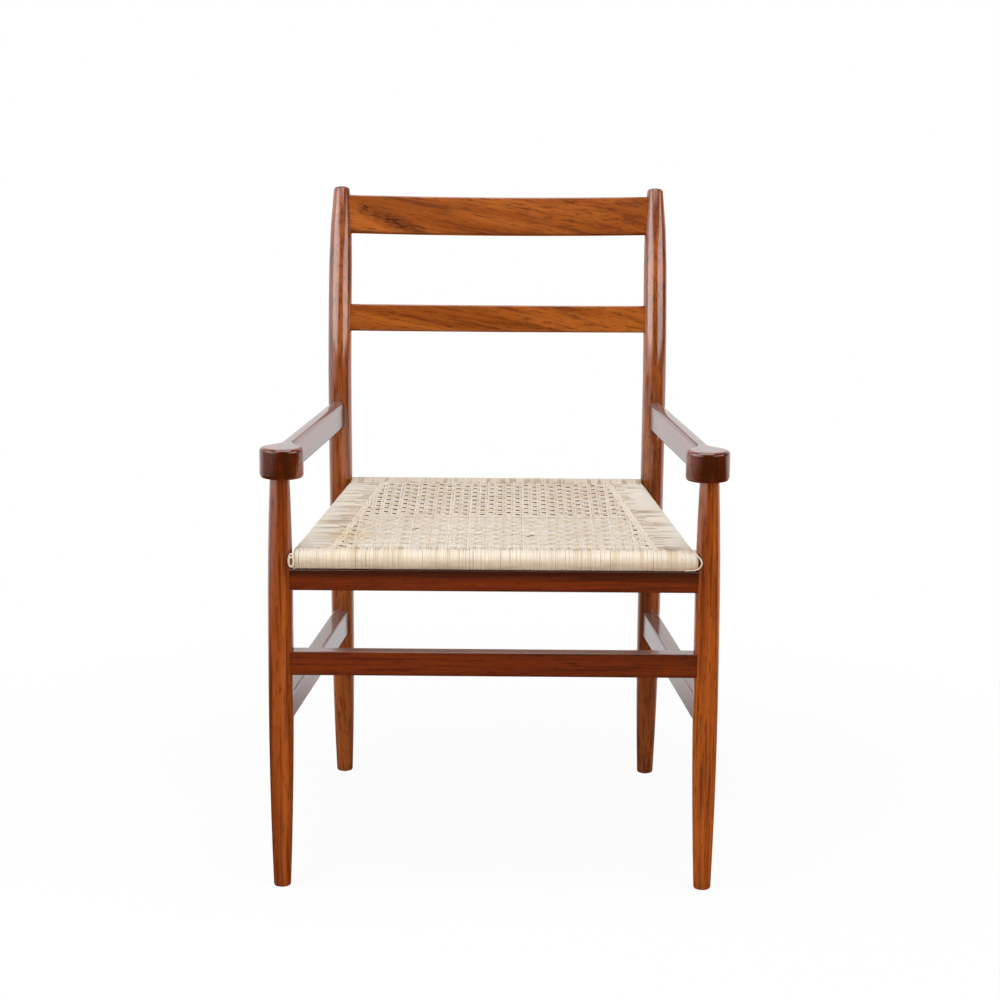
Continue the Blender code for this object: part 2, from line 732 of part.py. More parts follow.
def build_seat(wood, cane, steel, front_rail, rear_rail):
    """Wooden seat frame, the cane wound over it, the open field, and the screws from below."""
    core = CANE_THICKNESS + CLEARANCE
    ends = {"front": (FRONT_BORDER, SEAT_FRONT, 1), "back": (BACK_BORDER, SEAT_BACK, -1)}
    members = {}
    wraps = {}
    for word, (width, edge, inward) in ends.items():
        members[word] = add_object("seat_member_" + word,
                                   [cross_rings(width, core, edge, inward, ROLL_END)], wood)
        shell = (cross_rings(width, 0.0, edge, inward, 0.0),
                 cross_rings(width, CANE_THICKNESS, edge, inward, 0.0))
        wraps[word] = add_object("cane_roll_" + word, [shell], cane)

    front_face = SEAT_FRONT + FRONT_BORDER
    back_face = SEAT_BACK - BACK_BORDER
    tenon_low = SEAT_BOTTOM + SEAT_HEIGHT / 2 - SEAT_TENON_THICKNESS / 2
    sockets = []
    notches = []
    for side, word in ((-1, "left"), (1, "right")):
        # The member stops at the wood of the front and back members, inside their cane.
        member = add_object("seat_member_" + word,
                            [side_rings(side, core, front_face - core + CLEARANCE,
                                        back_face + core - CLEARANCE)], wood)
        shell = (side_rings(side, 0.0, front_face + CLEARANCE, back_face - CLEARANCE),
                 side_rings(side, CANE_THICKNESS, front_face + CLEARANCE, back_face - CLEARANCE))
        add_object("cane_roll_" + word, [shell], cane)
        notches.append(side_rings(side, CANE_THICKNESS, front_face - 2 * core,
                                  back_face + 2 * core))
        tenons, mortises = stub_tenons(side, SIDE_BORDER / 2, front_face - core, back_face + core,
                                       SEAT_TENON_WIDTH, tenon_low,
                                       tenon_low + SEAT_TENON_THICKNESS)
        sockets += mortises
        unite(member, add_object("seat_member_" + word + "_tenons", tenons, wood))
    socket_cutter = add_object("seat_member_sockets", sockets, wood)
    notch_cutter = add_object("cane_roll_notches", notches, cane)
    cane_field("cane_field", cane)

    spots = {"front": [(side * FRONT_SCREW_SPACING / 2, FRONT_Y) for side in (-1, 1)],
             "back": [(side * REAR_SCREW_SPACING / 2, REAR_RAIL_Y) for side in (-1, 1)]}
    rails = {"front": front_rail, "back": rear_rail}
    for word, places in spots.items():
        holes = screw_holes("screw_holes_" + word, places, steel)
        cut(rails[word], holes)
        cut(cut(members[word], socket_cutter), holes)
        cut(cut(wraps[word], notch_cutter), holes)
        for (x, y), hand in zip(places, ("left", "right")):
            seat_screw("seat_screw_" + word + "_" + hand, x, y, steel)


for old in list(bpy.data.objects):
    bpy.data.objects.remove(old)

CHAIR = bpy.data.objects.new("chair", None)
bpy.context.scene.collection.objects.link(CHAIR)

leg_wood = make_material("lacquered_wood", WOOD_COLOUR, 0.25)
dark_wood = make_material("lacquered_rail_wood", RAIL_COLOUR, 0.30)
frame_wood = make_material("bare_seat_wood", HIDDEN_WOOD_COLOUR, 0.60)
seat_cane = make_material("cane", CANE_COLOUR, 0.45)
screw_steel = make_material("screw_steel", STEEL_COLOUR, 0.35, 1.0)

seat_rails = build_frame(leg_wood, dark_wood)
build_seat(frame_wood, seat_cane, screw_steel, *seat_rails)
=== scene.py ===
"""Looks of a dining armchair: lacquered wood, a seat of wound and woven cane, and a studio."""

import math
import random

import bmesh
import bpy
from bpy.props import FloatProperty, FloatVectorProperty, IntProperty, PointerProperty
from mathutils import Matrix, Vector


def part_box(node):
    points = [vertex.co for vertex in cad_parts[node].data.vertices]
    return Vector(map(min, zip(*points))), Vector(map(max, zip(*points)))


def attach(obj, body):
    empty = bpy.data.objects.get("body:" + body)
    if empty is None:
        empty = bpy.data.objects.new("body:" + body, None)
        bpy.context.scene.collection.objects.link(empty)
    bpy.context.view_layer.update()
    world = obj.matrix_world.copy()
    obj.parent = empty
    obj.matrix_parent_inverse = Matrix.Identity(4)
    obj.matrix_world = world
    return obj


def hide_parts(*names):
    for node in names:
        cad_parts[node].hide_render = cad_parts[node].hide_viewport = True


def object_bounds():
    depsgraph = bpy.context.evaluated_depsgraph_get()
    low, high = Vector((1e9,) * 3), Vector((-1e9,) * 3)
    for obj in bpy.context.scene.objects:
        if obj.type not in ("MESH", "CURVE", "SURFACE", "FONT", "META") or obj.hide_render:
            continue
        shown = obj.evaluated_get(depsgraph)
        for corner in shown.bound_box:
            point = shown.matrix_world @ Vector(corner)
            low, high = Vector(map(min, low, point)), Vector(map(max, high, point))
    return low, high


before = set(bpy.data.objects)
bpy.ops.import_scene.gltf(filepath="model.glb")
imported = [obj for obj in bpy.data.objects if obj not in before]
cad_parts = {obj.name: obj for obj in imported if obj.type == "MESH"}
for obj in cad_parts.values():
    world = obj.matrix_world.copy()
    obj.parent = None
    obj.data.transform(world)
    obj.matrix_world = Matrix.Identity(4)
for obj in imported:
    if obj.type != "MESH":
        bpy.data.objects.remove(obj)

bl_info = {
    "name": "Cane Armchair Finish",
    "version": (1, 0, 0),
    "blender": (4, 5, 0),
    "location": "View3D > Sidebar > Armchair",
    "description": "Dresses a dining armchair in lacquered wood and woven cane and sets up its studio",
    "category": "Object",
}

CAD_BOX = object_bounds()
BODY = "root"
SIDES = ((-1, "left"), (1, "right"))

UP = Vector((0.0, 0.0, 1.0))
ACROSS = Vector((1.0, 0.0, 0.0))
REARWARD = Vector((0.0, 1.0, 0.0))
WHITE = (1.0, 1.0, 1.0, 1.0)
PALE_GREY = (0.96, 0.96, 0.96, 1.0)

MERGE_DISTANCE = 2e-6               # joins the corners of the frame's loose triangles
SHARP_ANGLE = math.radians(38)
OWN_NORMAL = 0.8                    # a corner's normal that turns further off its face is a neighbour's
PITH_DEPTH = (0.035, 0.090)         # how far from a piece's middle the middle of the log lay
LOG_LENGTH = 6.0                    # how far along the log a piece may start
BARE_LOG = (0.0, 0.05, -0.38)       # shift from the chair's place to the place in the bare wood's log
EDGE_TOLERANCE = 1e-4               # a corner this close to a piece's edge lies on it

# Names of the attributes that the pieces carry for their materials to read
GRAIN = "grain"
END = "end"
FACING = "facing"
TONE = "tone"
RUN = "run"
CROSS = "cross"
INSIDE = "inside"

PROFILE_SIDES = 6                   # a strand's flat six-sided section
PROFILE_HEIGHT = math.sqrt(3) / 2   # height of that section per unit of its diameter
CORNER_STEPS = 4                    # turns in each corner of a wound section
STRAND_LEAN = math.radians(0.7)     # how far a wound strand may turn from its neighbours
SIDE_SEED = 10                      # keeps the draws of the side borders apart from the others'
PAIR = (-0.5, 0.5)                  # the two strands of a pair, in pair spacings from its middle
COLUMN_OVERLAP = (0.005, 0.012)     # how far strands that run front to back lie over the borders
ROW_OVERLAP = (0.007, 0.024)        # how far strands that run side to side lie over the borders
COAT_ROUGHNESS = 0.15               # of the clear lacquer
COAT_INDEX = 1.95
BARE_GLOSS = 0.2                    # mirrored light of bare wood
CANE_GLOSS = 0.35                   # mirrored light of cane
WOOD_RELIEF = 0.00005               # depth of the wood's pores
CANE_RELIEF = 0.00012               # depth of the cane's fibres

# Places and sizes in the chair and its studio, in metres where no note says otherwise
NO_KNOT = ((0.0, 9.0, 0.0), (0.0, 9.0, 0.0))        # far outside the chair
# No painted shadow: its level lies far above the chair
NO_PAINTED_SHADE = 9.0                                       # far above the chair
CREST_KNOT = ((-0.1822, 0.2317, 0.8083),            # a knot
              (-0.1394, 0.2303, 0.7886))            # the dark streaks that trail it
TRAIL_ANGLE = math.radians(-20)                     # how the streaks fall to the right
STRAW_PLACE = (-0.185, -0.160, 0.438)               # a patch of yellower strands
ROSE_PLACE = (0.130, 0.100, 0.438)                  # a patch of pinkish strands
BINDING = (0.1, 1.1, 2.2)                           # side strands of the field, in widths from its edge
BROKEN = ((-0.1008, -0.1215), (0.0451, -0.1548))    # dark ends of broken strands in the field
BROKEN_STEP = (0.004, 0.003)                        # half of such an end
ROLL_DOME = ((0.0011, 0.93), (0.0019, 0.80),        # reach and size of strands that close a roll's end
             (0.0024, 0.62))
LOOSE_WIDTH, LOOSE_THICKNESS = 0.0019, 0.0015       # of a strand that has come loose
LOOSE_RING = Vector((-0.2484, -0.2476, 0.4272))     # middle of the loose rings at the roll's left end
# The last ring is painted shade: a dark loop that fills the hole in the loose rings
RINGS = (                                           # behind it, above it, half width, half height, inside
    (0.0, 0.0, 0.0036, 0.0084, 0.0), (0.0002, -0.0012, 0.0026, 0.0060, 0.0),
    (0.0002, 0.0056, 0.0022, 0.0022, 0.0), (0.0014, -0.0012, 0.0008, 0.0036, 1.0))
RING_LEAN = -0.30                                   # how far a ring comes forward as it goes to the right
RING_RISE = 0.10                                    # how far it rises as it goes to the right
RING_STEPS = 24
LOOSE_LOOP = (                                      # a strand that hangs loose at the roll's right end
    (0.2455, -0.2425, 0.4372), (0.2485, -0.2452, 0.4362), (0.2528, -0.2472, 0.4322),
    (0.2545, -0.2482, 0.4275), (0.2532, -0.2487, 0.4235), (0.2495, -0.2487, 0.4200),
    (0.2430, -0.2474, 0.4182), (0.2340, -0.2452, 0.4172))
FAR_FLOOR = (0.0, 1.68, 0.0)                        # floor that the camera sees through the weave's front
FAR_FLOOR_HALF = (0.37, 0.42)                       # half its width and depth
LAMPS = {                                           # place, width and height of each soft box
    "left_lamp": ((-1.66, -1.20, 1.55), 2.6, 1.6),
    "right_lamp": ((2.3, -1.35, 1.55), 2.9, 1.6),
    "top_lamp": ((0.0, -0.5, 2.9), 2.2, 2.2),
}


def colour(label, text, default):
    """Colour property in linear values."""
    return FloatVectorProperty(name=label, description=text, default=(*default, 1.0), size=4,
                               subtype="COLOR", min=0.0, max=1.0)


def length(label, text, default):
    """Size property in metres."""
    return FloatProperty(name=label, description=text, default=default, min=0.0, precision=5,
                         unit="LENGTH", subtype="DISTANCE")


def share(label, text, default):
    """Property from 0 to 1."""
    return FloatProperty(name=label, description=text, default=default, min=0.0, max=1.0,
                         subtype="FACTOR")


def angle(label, text, default):
    """Angle property in radians."""
    return FloatProperty(name=label, description=text, default=default, subtype="ANGLE")


def power(label, text, default):
    """Lamp power property in watts."""
    return FloatProperty(name=label, description=text, default=default, min=0.0, unit="POWER")


def whole_number(label, text, default):
    """Property in whole numbers."""
    return IntProperty(name=label, description=text, default=default)


class WoodFinish(bpy.types.PropertyGroup):
    """Colours and figure of the lacquered wood"""
    pale: colour("Pale Wood", "Light bands of the slats", (0.44, 0.115, 0.014))
    warm: colour("Warm Wood", "Body colour of the slats", (0.28, 0.062, 0.006))
    dark: colour("Dark Wood", "Streaks in the slats", (0.070, 0.013, 0.002))
    leg_pale: colour("Pale Leg Wood", "Light bands of the legs", (0.50, 0.106, 0.007))
    leg_warm: colour("Warm Leg Wood", "Body colour of the legs", (0.275, 0.048, 0.002))
    post_pale: colour("Pale Post Wood", "Light bands of the posts", (0.40, 0.098, 0.016))
    post_warm: colour("Warm Post Wood", "Body colour of the posts", (0.23, 0.049, 0.008))
    leg_dark: colour("Dark Leg Wood", "Streaks in the legs and posts", (0.050, 0.008, 0.001))
    rail_pale: colour("Pale Rail Wood", "Light bands of the arms and rails", (0.22, 0.030, 0.001))
    rail_warm: colour("Warm Rail Wood", "Body colour of the arms and rails", (0.13, 0.018, 0.001))
    rail_dark: colour("Dark Rail Wood", "Streaks in the arms and rails", (0.040, 0.008, 0.001))
    bare_pale: colour("Pale Bare Wood", "Light bands of the seat's hidden frame", (0.50, 0.33, 0.17))
    bare_warm: colour("Warm Bare Wood", "Body colour of the seat's hidden frame", (0.40, 0.24, 0.115))
    bare_dark: colour("Dark Bare Wood", "Streaks in the seat's hidden frame", (0.24, 0.13, 0.055))
    streaks: share("Streaks", "Strength of the long dark streaks in the other wood", 0.54)
    leg_streaks: share("Leg Streaks", "Strength of the long dark streaks in the legs", 0.62)
    post_streaks: share("Post Streaks", "Strength of the long dark streaks in the posts", 0.52)
    # Upward faces of the arms and rails grey towards this colour: dusty, and on the arms' tops also a
    # painted sheen of the lacquer
    dust_and_sheen: colour("Dust", "Dust and wear on the tops of the arms and rails", (0.58, 0.57, 0.54))
    dust_and_sheen_amount: share("Dust Amount", "How much of the wood the dust hides", 0.18)
    knot_size: length("Knot Size", "Reach of the knot in the crest slat", 0.009)
    slope: angle("Slope", "How far the grain of the slats runs down to the right", math.radians(11))
    seed: whole_number("Seed", "Picks where each piece lay in the log", 11)


class CaneFinish(bpy.types.PropertyGroup):
    """Sizes and colours of the cane seat"""
    strand_width: length("Strand Width", "Width of a strand of cane", 0.0029)
    strand_thickness: length("Strand Thickness", "Thickness of a strand in the field", 0.0006)
    wrap_width: length("Wrap Width", "Width of a strand wound over a border", 0.0027)
    wrap_thickness: length("Wrap Thickness", "Thickness of a strand wound over a border", 0.0008)
    wrap_pitch: length("Wrap Pitch", "Distance between strands wound side by side", 0.0024)
    unevenness: length("Unevenness", "How far a strand wound over a border lies off its place", 0.00024)
    waver: length("Waver", "How far a strand in the field lies off its place", 0.00055)
    column_pitch: length("Column Pitch", "Distance between the pairs that run front to back", 0.0115)
    row_pitch: length("Row Pitch", "Distance between the pairs that run side to side", 0.0120)
    pair_spacing: length("Pair Spacing", "Distance between the two strands of a pair", 0.0032)
    roll_radius: length("Roll Radius", "Rounding of the front and back edges", 0.0114)
    side_radius: length("Side Radius", "Rounding of the side edges", 0.0040)
    inner_radius: length("Inner Radius", "Rounding towards the open field", 0.0020)
    roll_start: length("Roll Start", "Left end of the front roll, from the middle", 0.2428)
    roll_finish: length("Roll Finish", "Right end of the front roll, from the middle", 0.2472)
    cream: colour("Cream", "Clean cane", (0.87, 0.78, 0.66))
    straw: colour("Straw", "Yellower strands", (0.83, 0.66, 0.43))
    rose: colour("Rose", "Pinkish strands", (0.80, 0.59, 0.47))
    mottle: share("Mottle", "How far the worn strands differ from the others", 0.65)
    side_mottle: share("Side Mottle", "How far the worn strands of the side borders differ", 1.0)
    side_cream: colour("Side Cream", "Clean cane on the side borders", (0.82, 0.77, 0.68))
    side_straw: colour("Side Straw", "Yellower strands on the side borders", (0.80, 0.71, 0.54))
    # Tan also paints shade along the strands' edges and helps darken the borders' bottom
    tan: colour("Tan", "Fibres and dirt", (0.33, 0.20, 0.10))
    # Painted shade: the dark of the borders' inner sides under the field, seen through the holes, and of
    # the hole in the loose rings
    shade: colour("Shade", "Inner sides of the borders, under the field", (0.12, 0.075, 0.042))
    seed: whole_number("Seed", "Picks each strand's tone and place", 5)


class StudioSettings(bpy.types.PropertyGroup):
    """Camera, lamps and floor"""
    camera_place: FloatVectorProperty(name="Camera Place", description="Where the camera stands",
                                      default=(0.0192433, -3.2602921, 1.1802093),
                                      subtype="TRANSLATION", unit="LENGTH", precision=5)
    pan: angle("Pan", "Camera turned to the right", -0.0041)
    tilt: angle("Tilt", "Camera turned down", 0.2205)
    roll: angle("Roll", "Camera rolled anticlockwise", 0.0065)
    lens: FloatProperty(name="Lens", description="Focal length", default=91.2996, unit="CAMERA")
    sensor: FloatProperty(name="Sensor", description="Width of the sensor", default=36.0, unit="CAMERA")
    floor: colour("Floor", "Colour of the floor", (0.93, 0.93, 0.93))
    floor_size: length("Floor Size", "Width of the floor", 14.0)
    shadow: share("Shadow", "How much of the shadow shows on the floor", 0.08)
    shadow_reach: length("Shadow Reach", "How far from the chair's middle the shadow shows", 1.1)
    dull: share("Dull Floor", "How much of the floor's own shade shows far behind the seat", 0.75)
    ambient: share("Ambient", "Level of the light from all around", 0.16)
    room: share("Room", "How bright the room behind the camera looks in the lacquer", 0.015)
    side: share("Left Side", "How bright the room at the left looks in the lacquer", 1.0)
    side_floor: share("Left Floor", "How bright the floor at the left looks in the lacquer", 0.60)
    backdrop: share("Backdrop", "How bright the backdrop looks in the lacquer", 1.0)
    left_lamp: power("Left Lamp", "Soft box at the left", 30.0)
    right_lamp: power("Right Lamp", "Soft box at the right", 34.0)
    top_lamp: power("Top Lamp", "Soft box overhead", 46.0)


def add_node(tree, kind, inputs=None, **settings):
    """New node with its settings made and its inputs linked or set; inputs are named or numbered."""
    node = tree.nodes.new(kind)
    for name, value in settings.items():
        setattr(node, name, value)
    for socket, value in (inputs or {}).items():
        if isinstance(value, bpy.types.NodeSocket):
            tree.links.new(value, node.inputs[socket])
        else:
            node.inputs[socket].default_value = value
    return node


def maths(tree, operation, first, second=0.0, third=0.0):
    """Result of one sum."""
    return add_node(tree, "ShaderNodeMath", {0: first, 1: second, 2: third},
                    operation=operation).outputs[0]


def times(tree, first, second):
    """Product of two values."""
    return maths(tree, "MULTIPLY", first, second)


def greater(tree, first, second):
    """Greater of two values."""
    return maths(tree, "MAXIMUM", first, second)


def component(tree, vector, axis):
    """X, Y or Z of a vector."""
    return add_node(tree, "ShaderNodeSeparateXYZ", {0: vector}).outputs[axis]


def distance(tree, place, centre, stretch):
    """Distance of a place from a centre, with each direction stretched."""
    offset = add_node(tree, "ShaderNodeVectorMath", {0: place, 1: centre}, operation="SUBTRACT")
    return add_node(tree, "ShaderNodeVectorMath", {0: stretched(tree, offset.outputs[0], stretch)},
                    operation="LENGTH").outputs["Value"]


def stretched(tree, vector, factors):
    """The vector with each part multiplied by its own factor."""
    return add_node(tree, "ShaderNodeVectorMath", {0: vector, 1: factors},
                    operation="MULTIPLY").outputs[0]


def band(tree, value, low, high, first=0.0, last=1.0):
    """Value carried smoothly from low and high to first and last."""
    node = add_node(tree, "ShaderNodeMapRange", {"Value": value, "From Min": low, "From Max": high,
                                                 "To Min": first, "To Max": last},
                    interpolation_type="SMOOTHSTEP")
    return node.outputs["Result"]


def clouds(tree, place, factors, detail=2.0, roughness=0.5):
    """Noise between about 0.2 and 0.8 over a place, finer where its factor is greater."""
    return add_node(tree, "ShaderNodeTexNoise",
                    {"Vector": stretched(tree, place, factors), "Scale": 1.0, "Detail": detail,
                     "Roughness": roughness}).outputs["Fac"]


def blended(tree, factor, first, second):
    """Mix of two colours."""
    return add_node(tree, "ShaderNodeMix", {0: factor, 6: first, 7: second}, data_type="RGBA").outputs[2]


def new_group(name, kind, inputs, outputs):
    """Node group with named sockets; returns it with the sockets that it is given and that it makes."""
    tree = bpy.data.node_groups.new(name, kind)
    for direction, sockets in (("INPUT", inputs), ("OUTPUT", outputs)):
        for label, socket in sockets.items():
            tree.interface.new_socket(label, in_out=direction, socket_type="NodeSocket" + socket)
    return tree, tree.nodes.new("NodeGroupInput").outputs, tree.nodes.new("NodeGroupOutput").inputs


def knot_marks(tree, given):
    """Masks of a knot's soft edge, of its core and of the dark streaks that trail it."""
    where = given["Where"]
    away = distance(tree, where, given["Knot"], (1.0, 0.0, 1.2))
    away = maths(tree, "DIVIDE", away, given["Knot Size"])
    ragged = clouds(tree, where, (260.0, 0.0, 420.0), 3.0, 0.6)
    away = maths(tree, "MULTIPLY_ADD", maths(tree, "SUBTRACT", ragged, 0.5), 1.5, away)
    turned = add_node(tree, "ShaderNodeVectorRotate",
                      {"Vector": where, "Center": given["Trail"], "Axis": REARWARD, "Angle": TRAIL_ANGLE},
                      rotation_type="AXIS_ANGLE").outputs[0]
    trail = distance(tree, turned, given["Trail"], (0.013, 0.0, 0.068))
    return band(tree, away, 1.7, 0.2), band(tree, away, 0.55, 0.15), band(tree, trail, 0.0010, 0.0001)


def wood_figure():
    """Bands, streaks, flecks and pores of wood, and a knot with a trail of dark streaks.

    Place runs along the grain in x. End is 1 where a face cuts across the grain, which takes less
    lacquer. Facing is 1 on a face that looks up, which turns greyer, partly dusty and partly a painted
    sheen, and -1 on one that looks down, which has no lacquer. Where is the chair's own place, in which
    the knot lies. A band about the given level is darkened as painted shadow.
    """
    name = "wood_figure"
    if name in bpy.data.node_groups:
        return bpy.data.node_groups[name]
    tree, given, made = new_group(
        name, "ShaderNodeTree",
        {"Place": "Vector", "End": "Float", "Where": "Vector", "Pale": "Color", "Warm": "Color",
         "Dark": "Color", "Streaks": "Float", "Knot": "Vector", "Trail": "Vector", "Knot Size": "Float",
         "Dirt Level": "Float", "Facing": "Float", "Dust": "Color", "Dust Amount": "Float"},
        {"Colour": "Color", "Roughness": "Float", "Height": "Float", "Lacquer": "Float"})
    dark, facing, where = given["Dark"], given["Facing"], given["Where"]
    halo, core, trail = knot_marks(tree, given)
    shift = times(tree, halo, 0.010)
    bend = add_node(tree, "ShaderNodeCombineXYZ", {"Y": shift, "Z": shift})
    place = add_node(tree, "ShaderNodeVectorMath", {0: given["Place"], 1: bend.outputs[0]}).outputs[0]

    tone = band(tree, clouds(tree, place, (2.2, 46.0, 46.0), 3.0), 0.36, 0.64)
    streak = band(tree, clouds(tree, place, (7.0, 250.0, 250.0), 4.0, 0.6), 0.47, 0.66)
    fleck = band(tree, clouds(tree, place, (50.0, 420.0, 420.0)), 0.55, 0.70)
    pore = band(tree, clouds(tree, place, (90.0, 1600.0, 1600.0), 1.0), 0.58, 0.74)
    rings = band(tree, clouds(tree, place, (0.0, 130.0, 16.0)), 0.38, 0.62, 0.72, 1.00)
    cut = times(tree, band(tree, given["End"], 0.40, 0.95), rings)
    # Painted shadow: the wood darkens in a band within 17 mm of the given level, as under the seat's roll
    above = maths(tree, "SUBTRACT", component(tree, where, "Z"), given["Dirt Level"])
    painted_shade_band = band(tree, maths(tree, "ABSOLUTE", above), 0.017, 0.003)
    torn = band(tree, clouds(tree, where, (110.0, 0.0, 330.0), 3.0, 0.6), 0.40, 0.60)
    smoky = times(tree, trail, maths(tree, "MULTIPLY_ADD", torn, 0.45, 0.55))

    shade = blended(tree, tone, given["Warm"], given["Pale"])
    for mask, amount in ((streak, given["Streaks"]), (fleck, 0.50), (pore, 0.22),
                         (times(tree, halo, torn), 0.55), (core, 0.85), (smoky, 1.0), (cut, 0.86),
                         (painted_shade_band, 0.86)):
        shade = blended(tree, times(tree, mask, amount), shade, dark)
    # Upward faces grey: dusty, and partly a painted sheen of the lacquer seen at a low angle
    sheened_dust = times(tree, band(tree, facing, 0.80, 0.97), given["Dust Amount"])
    tree.links.new(blended(tree, sheened_dust, shade, given["Dust"]), made["Colour"])
    soaked = band(tree, given["End"], 0.40, 0.95, 1.0, 0.40)
    tree.links.new(times(tree, band(tree, facing, -0.75, -0.30), soaked), made["Lacquer"])
    sheen = maths(tree, "MULTIPLY_ADD", pore, 0.12, 0.30)
    tree.links.new(maths(tree, "MULTIPLY_ADD", tone, 0.05, sheen), made["Roughness"])
    tree.links.new(maths(tree, "MULTIPLY_ADD", fleck, -0.5, times(tree, pore, -1.0)), made["Height"])
    return tree


def cane_skin():
    """Fibres along a strand of cane, its own tone, dark gaps by the field, and age over the seat."""
    name = "cane_skin"
    if name in bpy.data.node_groups:
        return bpy.data.node_groups[name]
    tree, given, made = new_group(
        name, "ShaderNodeTree",
        {"Place": "Vector", "Tone": "Float", "Run": "Float", "Cross": "Float", "Inside": "Float",
         "Cream": "Color", "Straw": "Color", "Rose": "Color", "Tan": "Color", "Shade": "Color",
         "Straw Place": "Vector", "Rose Place": "Vector", "Mottle": "Float"},
        {"Colour": "Color", "Roughness": "Float", "Height": "Float"})
    place, tone, inside = given["Place"], given["Tone"], given["Inside"]
    lane = add_node(tree, "ShaderNodeCombineXYZ", {"X": given["Run"], "Y": given["Cross"], "Z": tone})
    fibre = clouds(tree, lane.outputs[0], (45.0, 4.0, 97.0), 3.0, 0.6)
    # Towards the borders' bottom the cane turns warmer and darker, partly its own colour and partly
    # painted shade; the next mask breaks the tan of it into blotches
    low = band(tree, component(tree, place, "Z"), 0.4365, 0.4195)
    low_blotches = band(tree, clouds(tree, place, (30.0, 30.0, 200.0), 3.0), 0.44, 0.66)
    straw = band(tree, clouds(tree, place, (9.0, 9.0, 9.0), 3.0), 0.52, 0.74)
    rose = band(tree, clouds(tree, place, (14.0, 7.0, 14.0)), 0.58, 0.76)
    aged = band(tree, distance(tree, place, given["Straw Place"], (1.0, 1.6, 0.0)), 0.060, 0.012)
    blush = band(tree, distance(tree, place, given["Rose Place"], (1.0, 1.0, 0.0)), 0.034, 0.008)
    # Painted shade: the strands' edges turn tan, and on some strands a darker line runs along each edge,
    # as in the shade between strands
    rim_shade = band(tree, maths(tree, "ABSOLUTE", given["Cross"]), 0.70, 1.0)
    gap = times(tree, band(tree, tone, 0.54, 0.68), band(tree, inside, 0.00, 0.34))
    gap = times(tree, gap, given["Mottle"])
    edge = times(tree, rim_shade, band(tree, tone, 0.70, 0.84))
    worn = times(tree, band(tree, tone, 0.45, 0.82), given["Mottle"])

    shade = given["Cream"]
    for mask, amount, to in ((band(tree, tone, 0.50, 0.90), 0.60, "Straw"), (straw, 0.35, "Straw"),
                             (aged, 0.75, "Straw"), (band(tree, tone, 0.34, 0.0), 0.42, "Rose"),
                             (rose, 0.35, "Rose"), (blush, 0.70, "Rose"),
                             (band(tree, fibre, 0.50, 0.76), 0.24, "Tan"), (rim_shade, 0.27, "Tan"),
                             (edge, 0.22, "Tan"), (gap, 0.62, "Tan"), (low, 0.85, "Straw"),
                             (worn, 0.24, "Tan"), (band(tree, inside, 0.05, 0.50), 0.10, "Tan"),
                             (low, 0.46, "Rose"), (low, 0.15, "Tan"),
                             (times(tree, low, low_blotches), 0.22, "Tan"),
                             # painted shade on the borders' sides towards the field and on the dark loose
                             # ring
                             (band(tree, inside, 0.70, 0.95), 0.90, "Shade")):
        shade = blended(tree, times(tree, mask, amount), shade, given[to])
    tree.links.new(shade, made["Colour"])
    tree.links.new(maths(tree, "MULTIPLY_ADD", fibre, 0.25, 0.40), made["Roughness"])
    tree.links.new(fibre, made["Height"])
    return tree


def surface(name, group, values, sources, gloss, depth, lacquered=False):
    """Material whose Principled shader takes its colour, roughness and relief from a group of nodes.

    values are the group's plain inputs, sources the functions that add what its other inputs read, gloss
    the strength of the mirrored light under the lacquer, and depth the depth of the relief.
    """
    material = bpy.data.materials.new(name)
    material.use_nodes = True
    tree = material.node_tree
    shader = tree.nodes["Principled BSDF"]
    detail = tree.nodes.new("ShaderNodeGroup")
    detail.node_tree = group
    for label, value in values.items():
        detail.inputs[label].default_value = value
    for label, source in sources.items():
        tree.links.new(source(tree), detail.inputs[label])
    relief = add_node(tree, "ShaderNodeBump", {"Strength": 0.6, "Distance": depth,
                                               "Height": detail.outputs["Height"]})
    tree.links.new(detail.outputs["Colour"], shader.inputs["Base Color"])
    tree.links.new(detail.outputs["Roughness"], shader.inputs["Roughness"])
    tree.links.new(relief.outputs["Normal"], shader.inputs["Normal"])
    shader.inputs["Specular IOR Level"].default_value = gloss
    shader.inputs["Coat Weight"].default_value = float(lacquered)
    shader.inputs["Coat Roughness"].default_value = COAT_ROUGHNESS
    shader.inputs["Coat IOR"].default_value = COAT_INDEX
    if lacquered:
        tree.links.new(detail.outputs["Lacquer"], shader.inputs["Coat Weight"])
    return material


def attribute(name, socket):
    """Function that adds a node reading one of a piece's own attributes."""
    def add(tree):
        return add_node(tree, "ShaderNodeAttribute", attribute_name=name).outputs[socket]
    return add


def object_place(turn=0.0, shift=(0.0, 0.0, 0.0)):
    """Function that adds object coordinates, turned about z and shifted."""
    def add(tree):
        source = tree.nodes.new("ShaderNodeTexCoord").outputs["Object"]
        return add_node(tree, "ShaderNodeMapping", {"Vector": source, "Location": shift,
                                                    "Rotation": (0.0, 0.0, turn)}).outputs[0]
    return add


